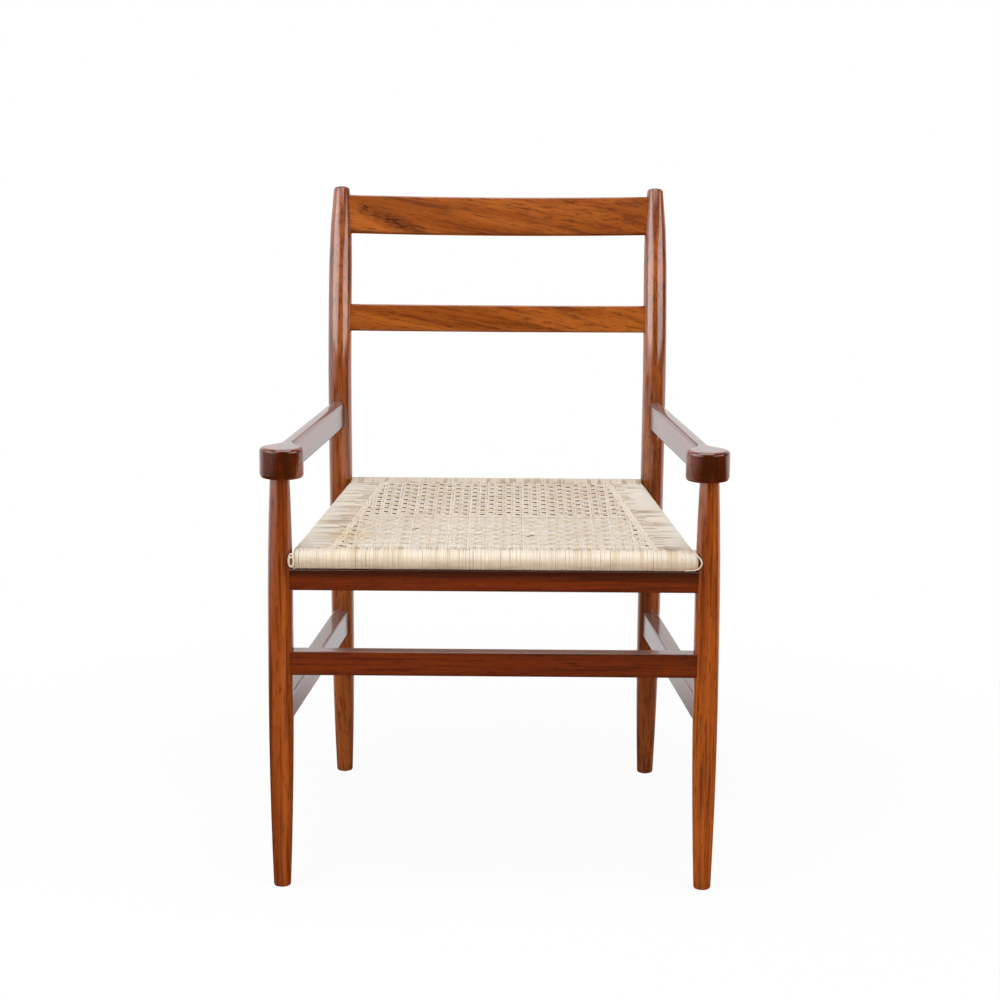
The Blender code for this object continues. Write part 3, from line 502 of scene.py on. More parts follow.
def wood_material(name, wood, tones, streaks, bare=None, knot=NO_KNOT, painted_shade_level=NO_PAINTED_SHADE, dust_and_sheen=0.0):
    """Wood in three tones, with the places of a knot and of its trail.

    Lacquered wood has its figure along its piece's own grain, and bare wood along the place in bare.
    """
    if name in bpy.data.materials:
        return bpy.data.materials[name]
    values = dict(zip(("Pale", "Warm", "Dark"), tones))
    values |= {"Streaks": streaks, "Knot Size": wood.knot_size, "Knot": knot[0], "Trail": knot[1],
               "Dirt Level": painted_shade_level, "Dust": wood.dust_and_sheen, "Dust Amount": dust_and_sheen}
    sources = {"Place": bare or attribute(GRAIN, "Vector"), "End": attribute(END, "Fac"),
               "Facing": attribute(FACING, "Fac"), "Where": object_place()}
    return surface(name, wood_figure(), values, sources, BARE_GLOSS if bare else 0.0, WOOD_RELIEF,
                   lacquered=not bare)


def leg_wood(wood):
    """Wood of the front legs."""
    return wood_material("figured_leg_wood", wood, (wood.leg_pale, wood.leg_warm, wood.leg_dark),
                         wood.leg_streaks)


def post_wood(wood):
    """Wood of the rear posts."""
    return wood_material("figured_post_wood", wood, (wood.post_pale, wood.post_warm, wood.leg_dark),
                         wood.post_streaks)


def slat_wood(wood, name="figured_slat_wood", knot=NO_KNOT):
    """Wood of a back slat, which may have a knot."""
    return wood_material(name, wood, (wood.pale, wood.warm, wood.dark), wood.streaks, knot=knot)


def rail_wood(wood):
    """Wood of arms, rails, stretchers; dusty tops with painted sheen; painted shadow at the front rail's
    top.
    """
    return wood_material("figured_rail_wood", wood, (wood.rail_pale, wood.rail_warm, wood.rail_dark),
                         wood.streaks, painted_shade_level=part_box("front_seat_rail")[1].z, dust_and_sheen=wood.dust_and_sheen_amount)


def bare_wood(wood, word, turn):
    """Wood of one member of the seat's hidden frame."""
    tones = (wood.bare_pale, wood.bare_warm, wood.bare_dark)
    return wood_material("figured_bare_wood_" + word, wood, tones, wood.streaks,
                         bare=object_place(turn, BARE_LOG))


def cane_material(cane, name="split_cane"):
    """Natural split cane, glossy on its skin; bleached_cane is the greyer cane of the side borders."""
    if name in bpy.data.materials:
        return bpy.data.materials[name]
    values = {"Cream": cane.cream, "Straw": cane.straw, "Rose": cane.rose, "Tan": cane.tan,
              "Shade": cane.shade, "Mottle": cane.mottle, "Straw Place": STRAW_PLACE,
              "Rose Place": ROSE_PLACE}
    if name == "bleached_cane":
        values |= {"Cream": cane.side_cream, "Straw": cane.side_straw, "Mottle": cane.side_mottle}
    sources = {"Place": object_place()}
    for label, mark in (("Tone", TONE), ("Run", RUN), ("Cross", CROSS), ("Inside", INSIDE)):
        sources[label] = attribute(mark, "Fac")
    return surface(name, cane_skin(), values, sources, CANE_GLOSS, CANE_RELIEF)


def steel_material():
    """Plain turned steel with fine circular scratches."""
    material = bpy.data.materials.new("turned_steel")
    material.use_nodes = True
    tree = material.node_tree
    shader = tree.nodes["Principled BSDF"]
    place = tree.nodes.new("ShaderNodeTexCoord").outputs["Object"]
    scratch = clouds(tree, place, (900.0, 900.0, 6000.0))
    tree.links.new(blended(tree, scratch, (0.40, 0.40, 0.41, 1.0), (0.60, 0.60, 0.61, 1.0)),
                   shader.inputs["Base Color"])
    tree.links.new(band(tree, scratch, 0.3, 0.7, 0.28, 0.45), shader.inputs["Roughness"])
    shader.inputs["Metallic"].default_value = 1.0
    return material


def link(piece):
    """Puts an object in the scene."""
    bpy.context.scene.collection.objects.link(piece)
    return piece


def paint(mesh, material):
    """Gives a mesh one material."""
    mesh.materials.clear()
    mesh.materials.append(material)


def plain_mesh(piece):
    """Puts what a piece's modifiers make in the place of its mesh, and takes the modifiers off."""
    depsgraph = bpy.context.evaluated_depsgraph_get()
    made = bpy.data.meshes.new_from_object(piece.evaluated_get(depsgraph),
                                           preserve_all_data_layers=True, depsgraph=depsgraph)
    made.name = piece.name
    piece.modifiers.clear()
    old = piece.data
    piece.data = made
    bpy.data.meshes.remove(old)
    return piece


def seat_on_frame(piece, slot, *nodes):
    """Rides a finished piece on the chair, in the place of the frame's nodes."""
    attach(piece, BODY)
    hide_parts(*nodes)


def middle(node):
    """Middle of a node's box."""
    low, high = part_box(node)
    return (low + high) / 2


def lay_grain(mesh, node, along, seed):
    """Stores where each point lay in its log, and how far each corner looks along the grain and up."""
    draw = random.Random(f"{node} {seed}")
    across = UP.cross(along) if abs(along.z) < 0.9 else ACROSS.copy()
    across.normalize()
    depth = along.cross(across)
    turn = Matrix.Rotation(draw.uniform(0.0, 2 * math.pi), 3, along)
    pith = turn @ depth * draw.uniform(*PITH_DEPTH)
    start = draw.uniform(0.0, LOG_LENGTH)
    centre = middle(node)
    places = []
    for vertex in mesh.vertices:
        offset = vertex.co - centre
        places += [offset.dot(along) + start, (offset - pith).dot(across), (offset - pith).dot(depth)]
    ends, facings = [], []
    for face in mesh.polygons:
        for corner in face.loop_indices:
            normal = mesh.corner_normals[corner].vector
            if normal.dot(face.normal) < OWN_NORMAL:
                normal = face.normal
            ends.append(abs(normal.dot(along)))
            facings.append(normal.z)
    mesh.attributes.new(GRAIN, "FLOAT_VECTOR", "POINT").data.foreach_set("vector", places)
    mesh.attributes.new(END, "FLOAT", "CORNER").data.foreach_set("value", ends)
    mesh.attributes.new(FACING, "FLOAT", "CORNER").data.foreach_set("value", facings)


def finished_copy(node, material, slot, along, seed):
    """Smoothly shaded copy of a solid that stands for it, with its grain laid along a direction."""
    mesh = bpy.data.meshes.new(node + "_lacquered")
    builder = bmesh.new()
    builder.from_mesh(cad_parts[node].data)
    bmesh.ops.remove_doubles(builder, verts=builder.verts, dist=MERGE_DISTANCE)
    builder.to_mesh(mesh)
    builder.free()
    mesh.shade_smooth()
    mesh.set_sharp_from_angle(angle=SHARP_ANGLE)
    paint(mesh, material)
    lay_grain(mesh, node, along, seed)
    piece = link(bpy.data.objects.new(node + "_lacquered", mesh))
    soft = piece.modifiers.new("soft_edges", "WEIGHTED_NORMAL")
    soft.keep_sharp = True
    plain_mesh(piece)
    seat_on_frame(piece, slot, node)
    return piece


def side_direction(word):
    """Level direction from the front leg to the rear post of one side."""
    run = middle("rear_post_" + word) - middle("front_leg_" + word)
    run.z = 0.0
    return run.normalized()


def edge_half_width(node, end):
    """Half the width of a node along its front edge (0) or its back edge (1)."""
    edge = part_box(node)[end].y
    return max(abs(vertex.co.x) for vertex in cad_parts[node].data.vertices
               if abs(vertex.co.y - edge) < EDGE_TOLERANCE)


class TaperedPlan:
    """Plan of a seat piece whose half width changes evenly from its front to its back."""

    def __init__(self, node):
        low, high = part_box(node)
        self.front, self.back, self.top = low.y, high.y, high.z
        self.front_half = edge_half_width(node, 0)
        self.taper = (edge_half_width(node, 1) - self.front_half) / (self.back - self.front)

    def half(self, y):
        """Half width at a place from front to back."""
        return self.front_half + self.taper * (y - self.front)

    def clip(self, start, run):
        """Least and greatest multiple of run, from start, that stays inside the plan."""
        least, most = -math.inf, math.inf
        walls = [(0.0, -1.0, -self.front), (0.0, 1.0, self.back)]
        walls += [(side, -self.taper, self.front_half - self.taper * self.front) for side in (-1.0, 1.0)]
        for nx, ny, limit in walls:
            speed = nx * run.x + ny * run.y
            room = limit - (nx * start.x + ny * start.y)
            if abs(speed) > 1e-9:
                if speed > 0:
                    most = min(most, room / speed)
                else:
                    least = max(least, room / speed)
            elif room < 0:
                return 0.0, -1.0
        return least, most


def stored(tree, geometry, name, value, domain="POINT"):
    """Geometry that carries a value under a name."""
    return add_node(tree, "GeometryNodeStoreNamedAttribute",
                    {"Geometry": geometry, "Name": name, "Value": value},
                    data_type="FLOAT", domain=domain).outputs["Geometry"]


def strip_profile(tree, width, thickness):
    """Flat six-sided section of a strand that carries its own place across the strand."""
    circle = add_node(tree, "GeometryNodeCurvePrimitiveCircle",
                      {"Resolution": PROFILE_SIDES, "Radius": 0.5})
    place = tree.nodes.new("GeometryNodeInputPosition").outputs[0]
    marked = stored(tree, circle.outputs["Curve"], CROSS, times(tree, component(tree, place, "X"), 2.0))
    tall = maths(tree, "DIVIDE", thickness, PROFILE_HEIGHT)
    size = add_node(tree, "ShaderNodeCombineXYZ", {"X": width, "Y": tall, "Z": 1.0})
    return add_node(tree, "GeometryNodeTransform",
                    {"Geometry": marked, "Scale": size.outputs[0]}).outputs["Geometry"]


def swept_strand(tree, lines, width, thickness, normals):
    """Lines swept with a strand's section, marked with the distance along them."""
    curve = add_node(tree, "GeometryNodeMeshToCurve", {"Mesh": lines})
    turned = add_node(tree, "GeometryNodeSetCurveNormal", {"Curve": curve.outputs["Curve"]}, mode=normals)
    along = tree.nodes.new("GeometryNodeSplineParameter").outputs["Length"]
    marked = stored(tree, turned.outputs["Curve"], RUN, along)
    return add_node(tree, "GeometryNodeCurveToMesh",
                    {"Curve": marked, "Fill Caps": True,
                     "Profile Curve": strip_profile(tree, width, thickness)}).outputs["Mesh"]


def finish_tree(tree, geometry, material, made):
    """Ends a tree in plain geometry, smoothly shaded, with its material."""
    real = add_node(tree, "GeometryNodeRealizeInstances", {"Geometry": geometry})
    smooth = add_node(tree, "GeometryNodeSetShadeSmooth", {"Geometry": real.outputs["Geometry"]})
    painted = add_node(tree, "GeometryNodeSetMaterial", {"Geometry": smooth.outputs["Geometry"],
                                                         "Material": material})
    tree.links.new(painted.outputs["Geometry"], made["Geometry"])


def random_value(tree, low, high, seed, shift, vector=False):
    """Random number or vector for each element; shift keeps the draws of one tree apart."""
    first = 0 if vector else 2
    node = add_node(tree, "FunctionNodeRandomValue", {first: low, first + 1: high},
                    data_type="FLOAT_VECTOR" if vector else "FLOAT")
    tree.links.new(maths(tree, "ADD", seed, float(shift)), node.inputs["Seed"])
    return node.outputs[0 if vector else 1]


def wound_border_tree():
    """Geometry nodes that set one closed strand after another along a border."""
    name = "wound_border"
    if name in bpy.data.node_groups:
        return bpy.data.node_groups[name]
    tree, given, made = new_group(
        name, "GeometryNodeTree",
        {"Section": "Geometry", "First Strand": "Vector", "Step": "Vector", "Strands": "Int",
         "Strand Width": "Float", "Strand Thickness": "Float", "Unevenness": "Float", "Lean": "Float",
         "Seed": "Int", "Material": "Material"}, {"Geometry": "Geometry"})
    seed = given["Seed"]
    strand = swept_strand(tree, given["Section"], given["Strand Width"], given["Strand Thickness"],
                          "MINIMUM_TWIST")
    line = add_node(tree, "GeometryNodeMeshLine",
                    {"Count": given["Strands"], "Start Location": given["First Strand"],
                     "Offset": given["Step"]}, mode="OFFSET")
    stray = random_value(tree, (-1.0, -1.0, -0.4), (1.0, 1.0, 0.4), seed, 1, vector=True)
    stray = add_node(tree, "ShaderNodeVectorMath", {0: stray, "Scale": given["Unevenness"]},
                     operation="SCALE").outputs[0]
    placed = add_node(tree, "GeometryNodeSetPosition",
                      {"Geometry": line.outputs["Mesh"], "Offset": stray})
    lean = times(tree, random_value(tree, -1.0, 1.0, seed, 2), given["Lean"])
    turn = add_node(tree, "ShaderNodeCombineXYZ", {"Z": lean})
    size = random_value(tree, 0.990, 1.006, seed, 3)
    strands = add_node(tree, "GeometryNodeInstanceOnPoints",
                       {"Points": placed.outputs["Geometry"], "Instance": strand,
                        "Rotation": turn.outputs[0], "Scale": size})
    place = tree.nodes.new("GeometryNodeInputPosition").outputs[0]
    group = band(tree, clouds(tree, place, (85.0, 60.0, 85.0), 3.0, 0.6), 0.34, 0.66)
    single = random_value(tree, 0.0, 0.4, seed, 4)
    tone = maths(tree, "MULTIPLY_ADD", group, 0.6, single)
    toned = stored(tree, strands.outputs["Instances"], TONE, tone, "INSTANCE")
    finish_tree(tree, toned, given["Material"], made)
    return tree


def strands_tree(name, normals):
    """Geometry nodes that give lines the flat section of a strand."""
    if name in bpy.data.node_groups:
        return bpy.data.node_groups[name]
    tree, given, made = new_group(
        name, "GeometryNodeTree",
        {"Lines": "Geometry", "Strand Width": "Float", "Strand Thickness": "Float",
         "Material": "Material"}, {"Geometry": "Geometry"})
    strands = swept_strand(tree, given["Lines"], given["Strand Width"], given["Strand Thickness"],
                           normals)
    finish_tree(tree, strands, given["Material"], made)
    return tree


def grow(piece, tree, values):
    """Runs a tree of geometry nodes on a piece with its named inputs set, and keeps the plain mesh."""
    modifier = piece.modifiers.new(tree.name, "NODES")
    modifier.node_group = tree
    names = {item.name: item.identifier for item in tree.interface.items_tree if item.in_out == "INPUT"}
    for label, value in values.items():
        modifier[names[label]] = value
    plain_mesh(piece)
    paint(piece.data, values["Material"])
    builder = bmesh.new()
    builder.from_mesh(piece.data)
    bmesh.ops.recalc_face_normals(builder, faces=builder.faces)
    builder.to_mesh(piece.data)
    builder.free()
    return piece


def line_piece(name, lines):
    """Object of plain lines.

    Each line is its points, how far inside the seat each lies, its tone and whether it is closed. A tone
    of None leaves the tone to what is made from the lines.
    """
    points, insides, edges, tones = [], [], [], []
    for path, depths, tone, closed in lines:
        first = len(points)
        points += path
        insides += depths
        edges += [(i, i + 1) for i in range(first, len(points) - 1)]
        if closed:
            edges.append((len(points) - 1, first))
        tones += [tone] * len(path)
    mesh = bpy.data.meshes.new(name)
    mesh.from_pydata(points, edges, [])
    if None not in tones:
        mesh.attributes.new(TONE, "FLOAT", "POINT").data.foreach_set("value", tones)
    mesh.attributes.new(INSIDE, "FLOAT", "POINT").data.foreach_set("value", insides)
    return link(bpy.data.objects.new(name, mesh))


def wound_section(width, height, outer, inner, inset):
    """Closed line of a strand round a border: u from the outer edge inwards, v up from the underside.

    The second list is 1 on the side towards the field, 0.6 where that side meets the top and the
    underside, and falls to 0 at the outer edge.
    """
    corners = ((width, 0.0, 1, -1, -90, inner), (width, height, 1, 1, 0, inner),
               (0.0, height, -1, 1, 90, outer), (0.0, 0.0, -1, -1, 180, outer))
    line, insides = [], []
    for u, v, sign_u, sign_v, start, radius in corners:
        bend = radius - inset
        for step in range(CORNER_STEPS + 1):
            bearing = math.radians(start + 90 * step / CORNER_STEPS)
            line.append((u - sign_u * radius + bend * math.cos(bearing),
                         v - sign_v * radius + bend * math.sin(bearing)))
            insides.append(0.6 + 0.4 * abs(math.cos(bearing)) if sign_u > 0 else 0.0)
    return line, insides


def wind_border(name, cane, material, section, insides, first, last, seed):
    """Strands wound side by side over a border, from the first to the last."""
    run = last - first
    strands = round(run.length / cane.wrap_pitch) + 1
    piece = line_piece(name, [(section, insides, None, True)])
    grow(piece, wound_border_tree(),
         {"First Strand": first, "Step": run / (strands - 1), "Strands": strands,
          "Strand Width": cane.wrap_width, "Strand Thickness": cane.wrap_thickness,
          "Unevenness": cane.unevenness, "Lean": STRAND_LEAN, "Seed": seed, "Material": material})
    return piece


def section_centre(line):
    """Middle of a section's points."""
    return sum(u for u, v in line) / len(line), sum(v for u, v in line) / len(line)


class FieldWeave:
    """Centre lines of the strands in the open field, which alternate over and under each other."""

    def __init__(self, cane):
        self.cane = cane
        self.plan = TaperedPlan("cane_field")
        self.draw = random.Random(cane.seed)
        self.columns = int(self.plan.front_half / cane.column_pitch) + 2
        rows = round((self.plan.back - self.plan.front) / cane.row_pitch)
        self.rows = range(0, rows + 1)
        self.first_row = (self.plan.front + self.plan.back - rows * cane.row_pitch) / 2
        self.level = self.plan.top - 1.5 * cane.strand_thickness
        self.tuck = 2.0 * cane.strand_width

    def knot(self, column, row):
        """Plan place of a crossing of pairs."""
        return Vector((column * self.cane.column_pitch, self.first_row + row * self.cane.row_pitch, 0.0))

    def strand(self, start, run, first, last, height, overlap=None):
        """Line from start by multiples of run, kept inside the plan, with its height at each half step.

        overlap is the least and greatest length by which it lies over the borders before it dips into
        them; without it the line dips at the field's edge.
        """
        least, most = self.plan.clip(start, run)
        if most - least < 1.0:
            return None
        stops = [step / 2 for step in range(2 * first, 2 * last + 1)
                 if least + 0.2 < step / 2 < most - 0.2]
        path = []
        for stop in stops:
            point = start + run * stop
            point.x += self.draw.uniform(-1.0, 1.0) * self.cane.waver
            point.y += self.draw.uniform(-1.0, 1.0) * self.cane.waver
            point.z = self.level + height(stop)
            path.append(point)
        before, insides = self.ending(start + run * least, -run.normalized(), overlap)
        after, insides = self.ending(start + run * most, run.normalized(), overlap)
        return (before[::-1] + path + after, insides[::-1] + [0.0] * len(path) + insides,
                self.draw.random(), False)

    def ending(self, edge, outward, overlap):
        """Points that carry a strand over or under a border, and how far inside the seat they lie."""
        thickness = self.cane.strand_thickness
        reach = self.draw.uniform(*overlap) if overlap else self.tuck
        over = self.plan.top + 0.35 * thickness if overlap else self.level - 1.5 * thickness
        under = self.plan.top - 1.3 * thickness if overlap else over
        points = []
        at_edge = self.level if overlap else over
        for fraction, height in ((0.0, at_edge), (0.15, over), (0.70, over), (1.0, under)):
            point = edge + outward * reach * fraction
            point.z = height
            points.append(point)
        return points, [0.0, 0.5, 0.5, 0.5]

    def waves(self, phase, lift):
        """Height that swings from one crossing to the next."""
        return lambda stop: lift * math.cos(math.pi * (stop + phase))

    def lines(self):
        """Pairs both ways, diagonals that cross in every second cell, and pairs that bind the sides."""
        cane = self.cane
        lift = cane.strand_thickness / 2
        last_row = self.rows[-1]
        found = []
        for column in range(-self.columns, self.columns + 1):
            for side in PAIR:
                start = self.knot(column, 0) + ACROSS * side * cane.pair_spacing
                found.append(self.strand(start, REARWARD * cane.row_pitch, 0, last_row,
                                         self.waves(column, lift), COLUMN_OVERLAP))
        for row in self.rows:
            for side in PAIR:
                start = self.knot(0, row) + REARWARD * side * cane.pair_spacing
                found.append(self.strand(start, ACROSS * cane.column_pitch, -self.columns, self.columns,
                                         self.waves(row + 1, lift), ROW_OVERLAP))
        reach = self.columns + last_row
        for hand in (1, -1):
            run = ACROSS * hand * cane.column_pitch + REARWARD * cane.row_pitch
            for shift in range(-reach, reach + 1):
                if shift % 2 == (hand < 0):
                    swing = self.waves(shift, 2.4 * lift)
                    found.append(self.strand(self.knot(shift, 0), run, 0, last_row,
                                             lambda stop, swing=swing: swing(stop) + hand * lift))
        for side, _ in SIDES:
            for inset in BINDING:
                edge = self.plan.half(self.first_row) - inset * cane.strand_width
                run = (REARWARD + ACROSS * side * self.plan.taper) * cane.row_pitch
                start = Vector((side * edge, self.first_row, 0.0))
                path, insides, _, _ = self.strand(start, run, 0, last_row, lambda stop: 1.5 * lift,
                                                  COLUMN_OVERLAP)
                found.append((path, insides, 0.35, False))
        for x, y in BROKEN:
            path = [Vector((x + BROKEN_STEP[0] * step, y + BROKEN_STEP[1] * step, self.plan.top))
                    for step in (-1, 0, 1)]
            found.append((path, [1.0] * len(path), 0.5, False))
        return [line for line in found if line]


def rounded(points, steps=6):
    """Smooth line through points."""
    line = [Vector(points[0]) * 2 - Vector(points[1]), *(Vector(p) for p in points)]
    line.append(line[-1] * 2 - line[-2])
    made = []
    for before, start, end, after in zip(line, line[1:], line[2:], line[3:]):
        for step in range(steps):
            t = step / steps
            square = (2 * before - 5 * start + 4 * end - after) * t * t
            cube = (3 * start - before - 3 * end + after) * t ** 3
            made.append(0.5 * (2 * start + (end - before) * t + square + cube))
    return made + [line[-2]]


def join(piece, other):
    """Takes another piece's mesh into a piece and removes the other."""
    builder = bmesh.new()
    builder.from_mesh(piece.data)
    builder.from_mesh(other.data)
    builder.to_mesh(piece.data)
    builder.free()
    mesh = other.data
    bpy.data.objects.remove(other)
    bpy.data.meshes.remove(mesh)


def loose_strands(cane, section, centre):
    """Strands at the front roll's ends: some close them, a loop hangs at the right, rings at the left."""
    closing, loose = [], []
    for side, start in ((-1, cane.roll_start), (1, cane.roll_finish)):
        for reach, size in ROLL_DOME:
            end = Vector((side * (start + reach), centre.y, centre.z))
            closing.append(([end + point * size for point in section], [0.0] * len(section), 0.3, True))
    for behind, rise, half_width, half_height, inside in RINGS:
        ring = []
        for step in range(RING_STEPS):
            bearing = 2 * math.pi * step / RING_STEPS
            across = half_width * math.cos(bearing)
            upward = rise + half_height * math.sin(bearing) + RING_RISE * across
            ring.append(LOOSE_RING + Vector((across, behind + across * RING_LEAN, upward)))
        loose.append((ring, [inside] * RING_STEPS, 0.4, True))
    loop = rounded(LOOSE_LOOP)
    loose.append((loop, [0.0] * len(loop), 0.45, False))
    tree = strands_tree("loose_strands", "MINIMUM_TWIST")
    sets = (("closing_strands", closing, cane.wrap_width, cane.wrap_thickness),
            ("loose_strands", loose, LOOSE_WIDTH, LOOSE_THICKNESS))
    pieces = []
    for name, lines, width, thickness in sets:
        values = {"Strand Width": width, "Strand Thickness": thickness, "Material": cane_material(cane)}
        pieces.append(grow(line_piece(name, lines), tree, values))
    return pieces


def wind_roll(cane, word, inward):
    """Winds the front border, from which the field lies inward at 1, or the back border, at -1."""
    node = "cane_roll_" + word
    low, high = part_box(node)
    edge = low.y if inward > 0 else high.y
    line, insides = wound_section(high.y - low.y, high.z - low.z, cane.roll_radius, cane.inner_radius,
                                  cane.wrap_thickness / 2)
    middle_u, middle_v = section_centre(line)
    section = [Vector((0.0, inward * (u - middle_u), v - middle_v)) for u, v in line]
    half = (edge_half_width(node, 0) + edge_half_width(node, 1)) / 2 - cane.wrap_width / 2
    centre = Vector((0.0, edge + inward * middle_u, low.z + middle_v))
    ends = (cane.roll_start, cane.roll_finish) if inward > 0 else (half, half)
    piece = wind_border("wound_border_" + word, cane, cane_material(cane), section, insides,
                        centre - ACROSS * ends[0], centre + ACROSS * ends[1], cane.seed + inward)
    if inward > 0:
        for other in loose_strands(cane, section, centre):
            join(piece, other)
    seat_on_frame(piece, "cane", node)


def wind_side(cane, side, word):
    """Winds the left or right border, which follows the seat's taper."""
    node = "cane_roll_" + word
    low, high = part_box(node)
    margin = cane.wrap_width / 2
    front_half, back_half = edge_half_width(node, 0), edge_half_width(node, 1)
    width = high.x - low.x - (front_half - back_half)
    line, insides = wound_section(width, high.z - low.z, cane.side_radius, cane.inner_radius,
                                  cane.wrap_thickness / 2)
    middle_u, middle_v = section_centre(line)
    section = [Vector((-side * (u - middle_u), 0.0, v - middle_v)) for u, v in line]
    first = Vector((side * (front_half - middle_u), low.y + margin, low.z + middle_v))
    last = Vector((side * (back_half - middle_u), high.y - margin, low.z + middle_v))
    piece = wind_border("wound_border_" + word, cane, cane_material(cane, "bleached_cane"), section,
                        insides, first, last, cane.seed + SIDE_SEED + side)
    seat_on_frame(piece, "cane", node)


class ARMCHAIR_OT_uprights(bpy.types.Operator):
    """Turned front legs and curved rear posts in lacquered wood"""
    bl_idname = "armchair.uprights"
    bl_label = "Finish Legs and Posts"

    def execute(self, context):
        wood = context.scene.armchair_wood
        for kind, material in (("front_leg", leg_wood(wood)), ("rear_post", post_wood(wood))):
            for _, word in SIDES:
                finished_copy(f"{kind}_{word}", material, "lacquered_wood", UP, wood.seed)
        return {"FINISHED"}


class ARMCHAIR_OT_arms(bpy.types.Operator):
    """Arms with rounded paddles in darker lacquered wood"""
    bl_idname = "armchair.arms"
    bl_label = "Finish Arms"

    def execute(self, context):
        wood = context.scene.armchair_wood
        for _, word in SIDES:
            finished_copy("arm_" + word, rail_wood(wood), "lacquered_wood", side_direction(word),
                          wood.seed)
        return {"FINISHED"}


class ARMCHAIR_OT_slats(bpy.types.Operator):
    """Bowed back slats in lacquered wood"""
    bl_idname = "armchair.slats"
    bl_label = "Finish Back Slats"

    def execute(self, context):
        wood = context.scene.armchair_wood
        grain = Vector((math.cos(wood.slope), 0.0, -math.sin(wood.slope)))
        crest = slat_wood(wood, "knotted_slat_wood", CREST_KNOT)
        for node, material in (("crest_slat", crest), ("middle_slat", slat_wood(wood))):
            finished_copy(node, material, "lacquered_wood", grain, wood.seed)
        return {"FINISHED"}


class ARMCHAIR_OT_rails(bpy.types.Operator):
    """Seat rails and stretchers in darker lacquered wood"""
    bl_idname = "armchair.rails"
    bl_label = "Finish Rails and Stretchers"

    def execute(self, context):
        wood = context.scene.armchair_wood
        material = rail_wood(wood)
        for node in ("front_seat_rail", "rear_seat_rail", "front_stretcher"):
            finished_copy(node, material, "rail_wood", ACROSS, wood.seed)
        for _, word in SIDES:
            for kind in ("side_seat_rail_", "side_stretcher_"):
                finished_copy(kind + word, material, "rail_wood", side_direction(word), wood.seed)
        return {"FINISHED"}


class ARMCHAIR_OT_seat_frame(bpy.types.Operator):
    """Bare wooden frame inside the seat, and the screws that hold it down"""
    bl_idname = "armchair.seat_frame"
    bl_label = "Finish Seat Frame"

    def execute(self, context):
        wood = context.scene.armchair_wood
        steel = steel_material()
        for words, turn in ((("front", "back"), 0.0), (("left", "right"), math.pi / 2)):
            for word in words:
                paint(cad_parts["seat_member_" + word].data, bare_wood(wood, word, turn))
        for end in ("front", "back"):
            for _, word in SIDES:
                paint(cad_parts[f"seat_screw_{end}_{word}"].data, steel)
        return {"FINISHED"}


class ARMCHAIR_OT_wound_borders(bpy.types.Operator):
    """Cane strands wound side by side over the four borders of the seat"""
    bl_idname = "armchair.wound_borders"
    bl_label = "Wind Seat Borders"

    def execute(self, context):
        cane = context.scene.armchair_cane
        for word, inward in (("front", 1), ("back", -1)):
            wind_roll(cane, word, inward)
        for side, word in SIDES:
            wind_side(cane, side, word)
        return {"FINISHED"}


class ARMCHAIR_OT_woven_field(bpy.types.Operator):
    """Open cane weave between the borders"""
    bl_idname = "armchair.woven_field"
    bl_label = "Weave Seat Field"

    def execute(self, context):
        cane = context.scene.armchair_cane
        piece = line_piece("woven_field", FieldWeave(cane).lines())
        grow(piece, strands_tree("woven_strands", "Z_UP"),
             {"Strand Width": cane.strand_width, "Strand Thickness": cane.strand_thickness,
              "Material": cane_material(cane)})
        seat_on_frame(piece, "cane", "cane_field")
        return {"FINISHED"}


def add_camera(studio):
    """Camera at the photograph's viewing angle."""
    camera = link(bpy.data.objects.new("camera", bpy.data.cameras.new("camera")))
    camera.data.lens = studio.lens
    camera.data.sensor_width = studio.sensor
    forward = Vector((math.sin(studio.pan) * math.cos(studio.tilt),
                      math.cos(studio.pan) * math.cos(studio.tilt), -math.sin(studio.tilt)))
    level = Vector((math.cos(studio.pan), -math.sin(studio.pan), 0.0))
    upward = level.cross(forward)
    right = level * math.cos(studio.roll) + upward * math.sin(studio.roll)
    top = upward * math.cos(studio.roll) - level * math.sin(studio.roll)
    matrix = Matrix((right, top, -forward)).transposed().to_4x4()
    matrix.translation = studio.camera_place
    camera.matrix_world = matrix
    bpy.context.scene.camera = camera


def add_lamp(name, place, target, width, height, watts):
    """Rectangular soft box that faces a point."""
    data = bpy.data.lights.new(name, "AREA")
    data.shape = "RECTANGLE"
    data.size, data.size_y, data.energy = width, height, watts
    lamp = link(bpy.data.objects.new(name, data))
    lamp.location = place
    lamp.rotation_euler = (target - place).to_track_quat("-Z", "Y").to_euler()
    lamp.visible_camera = False


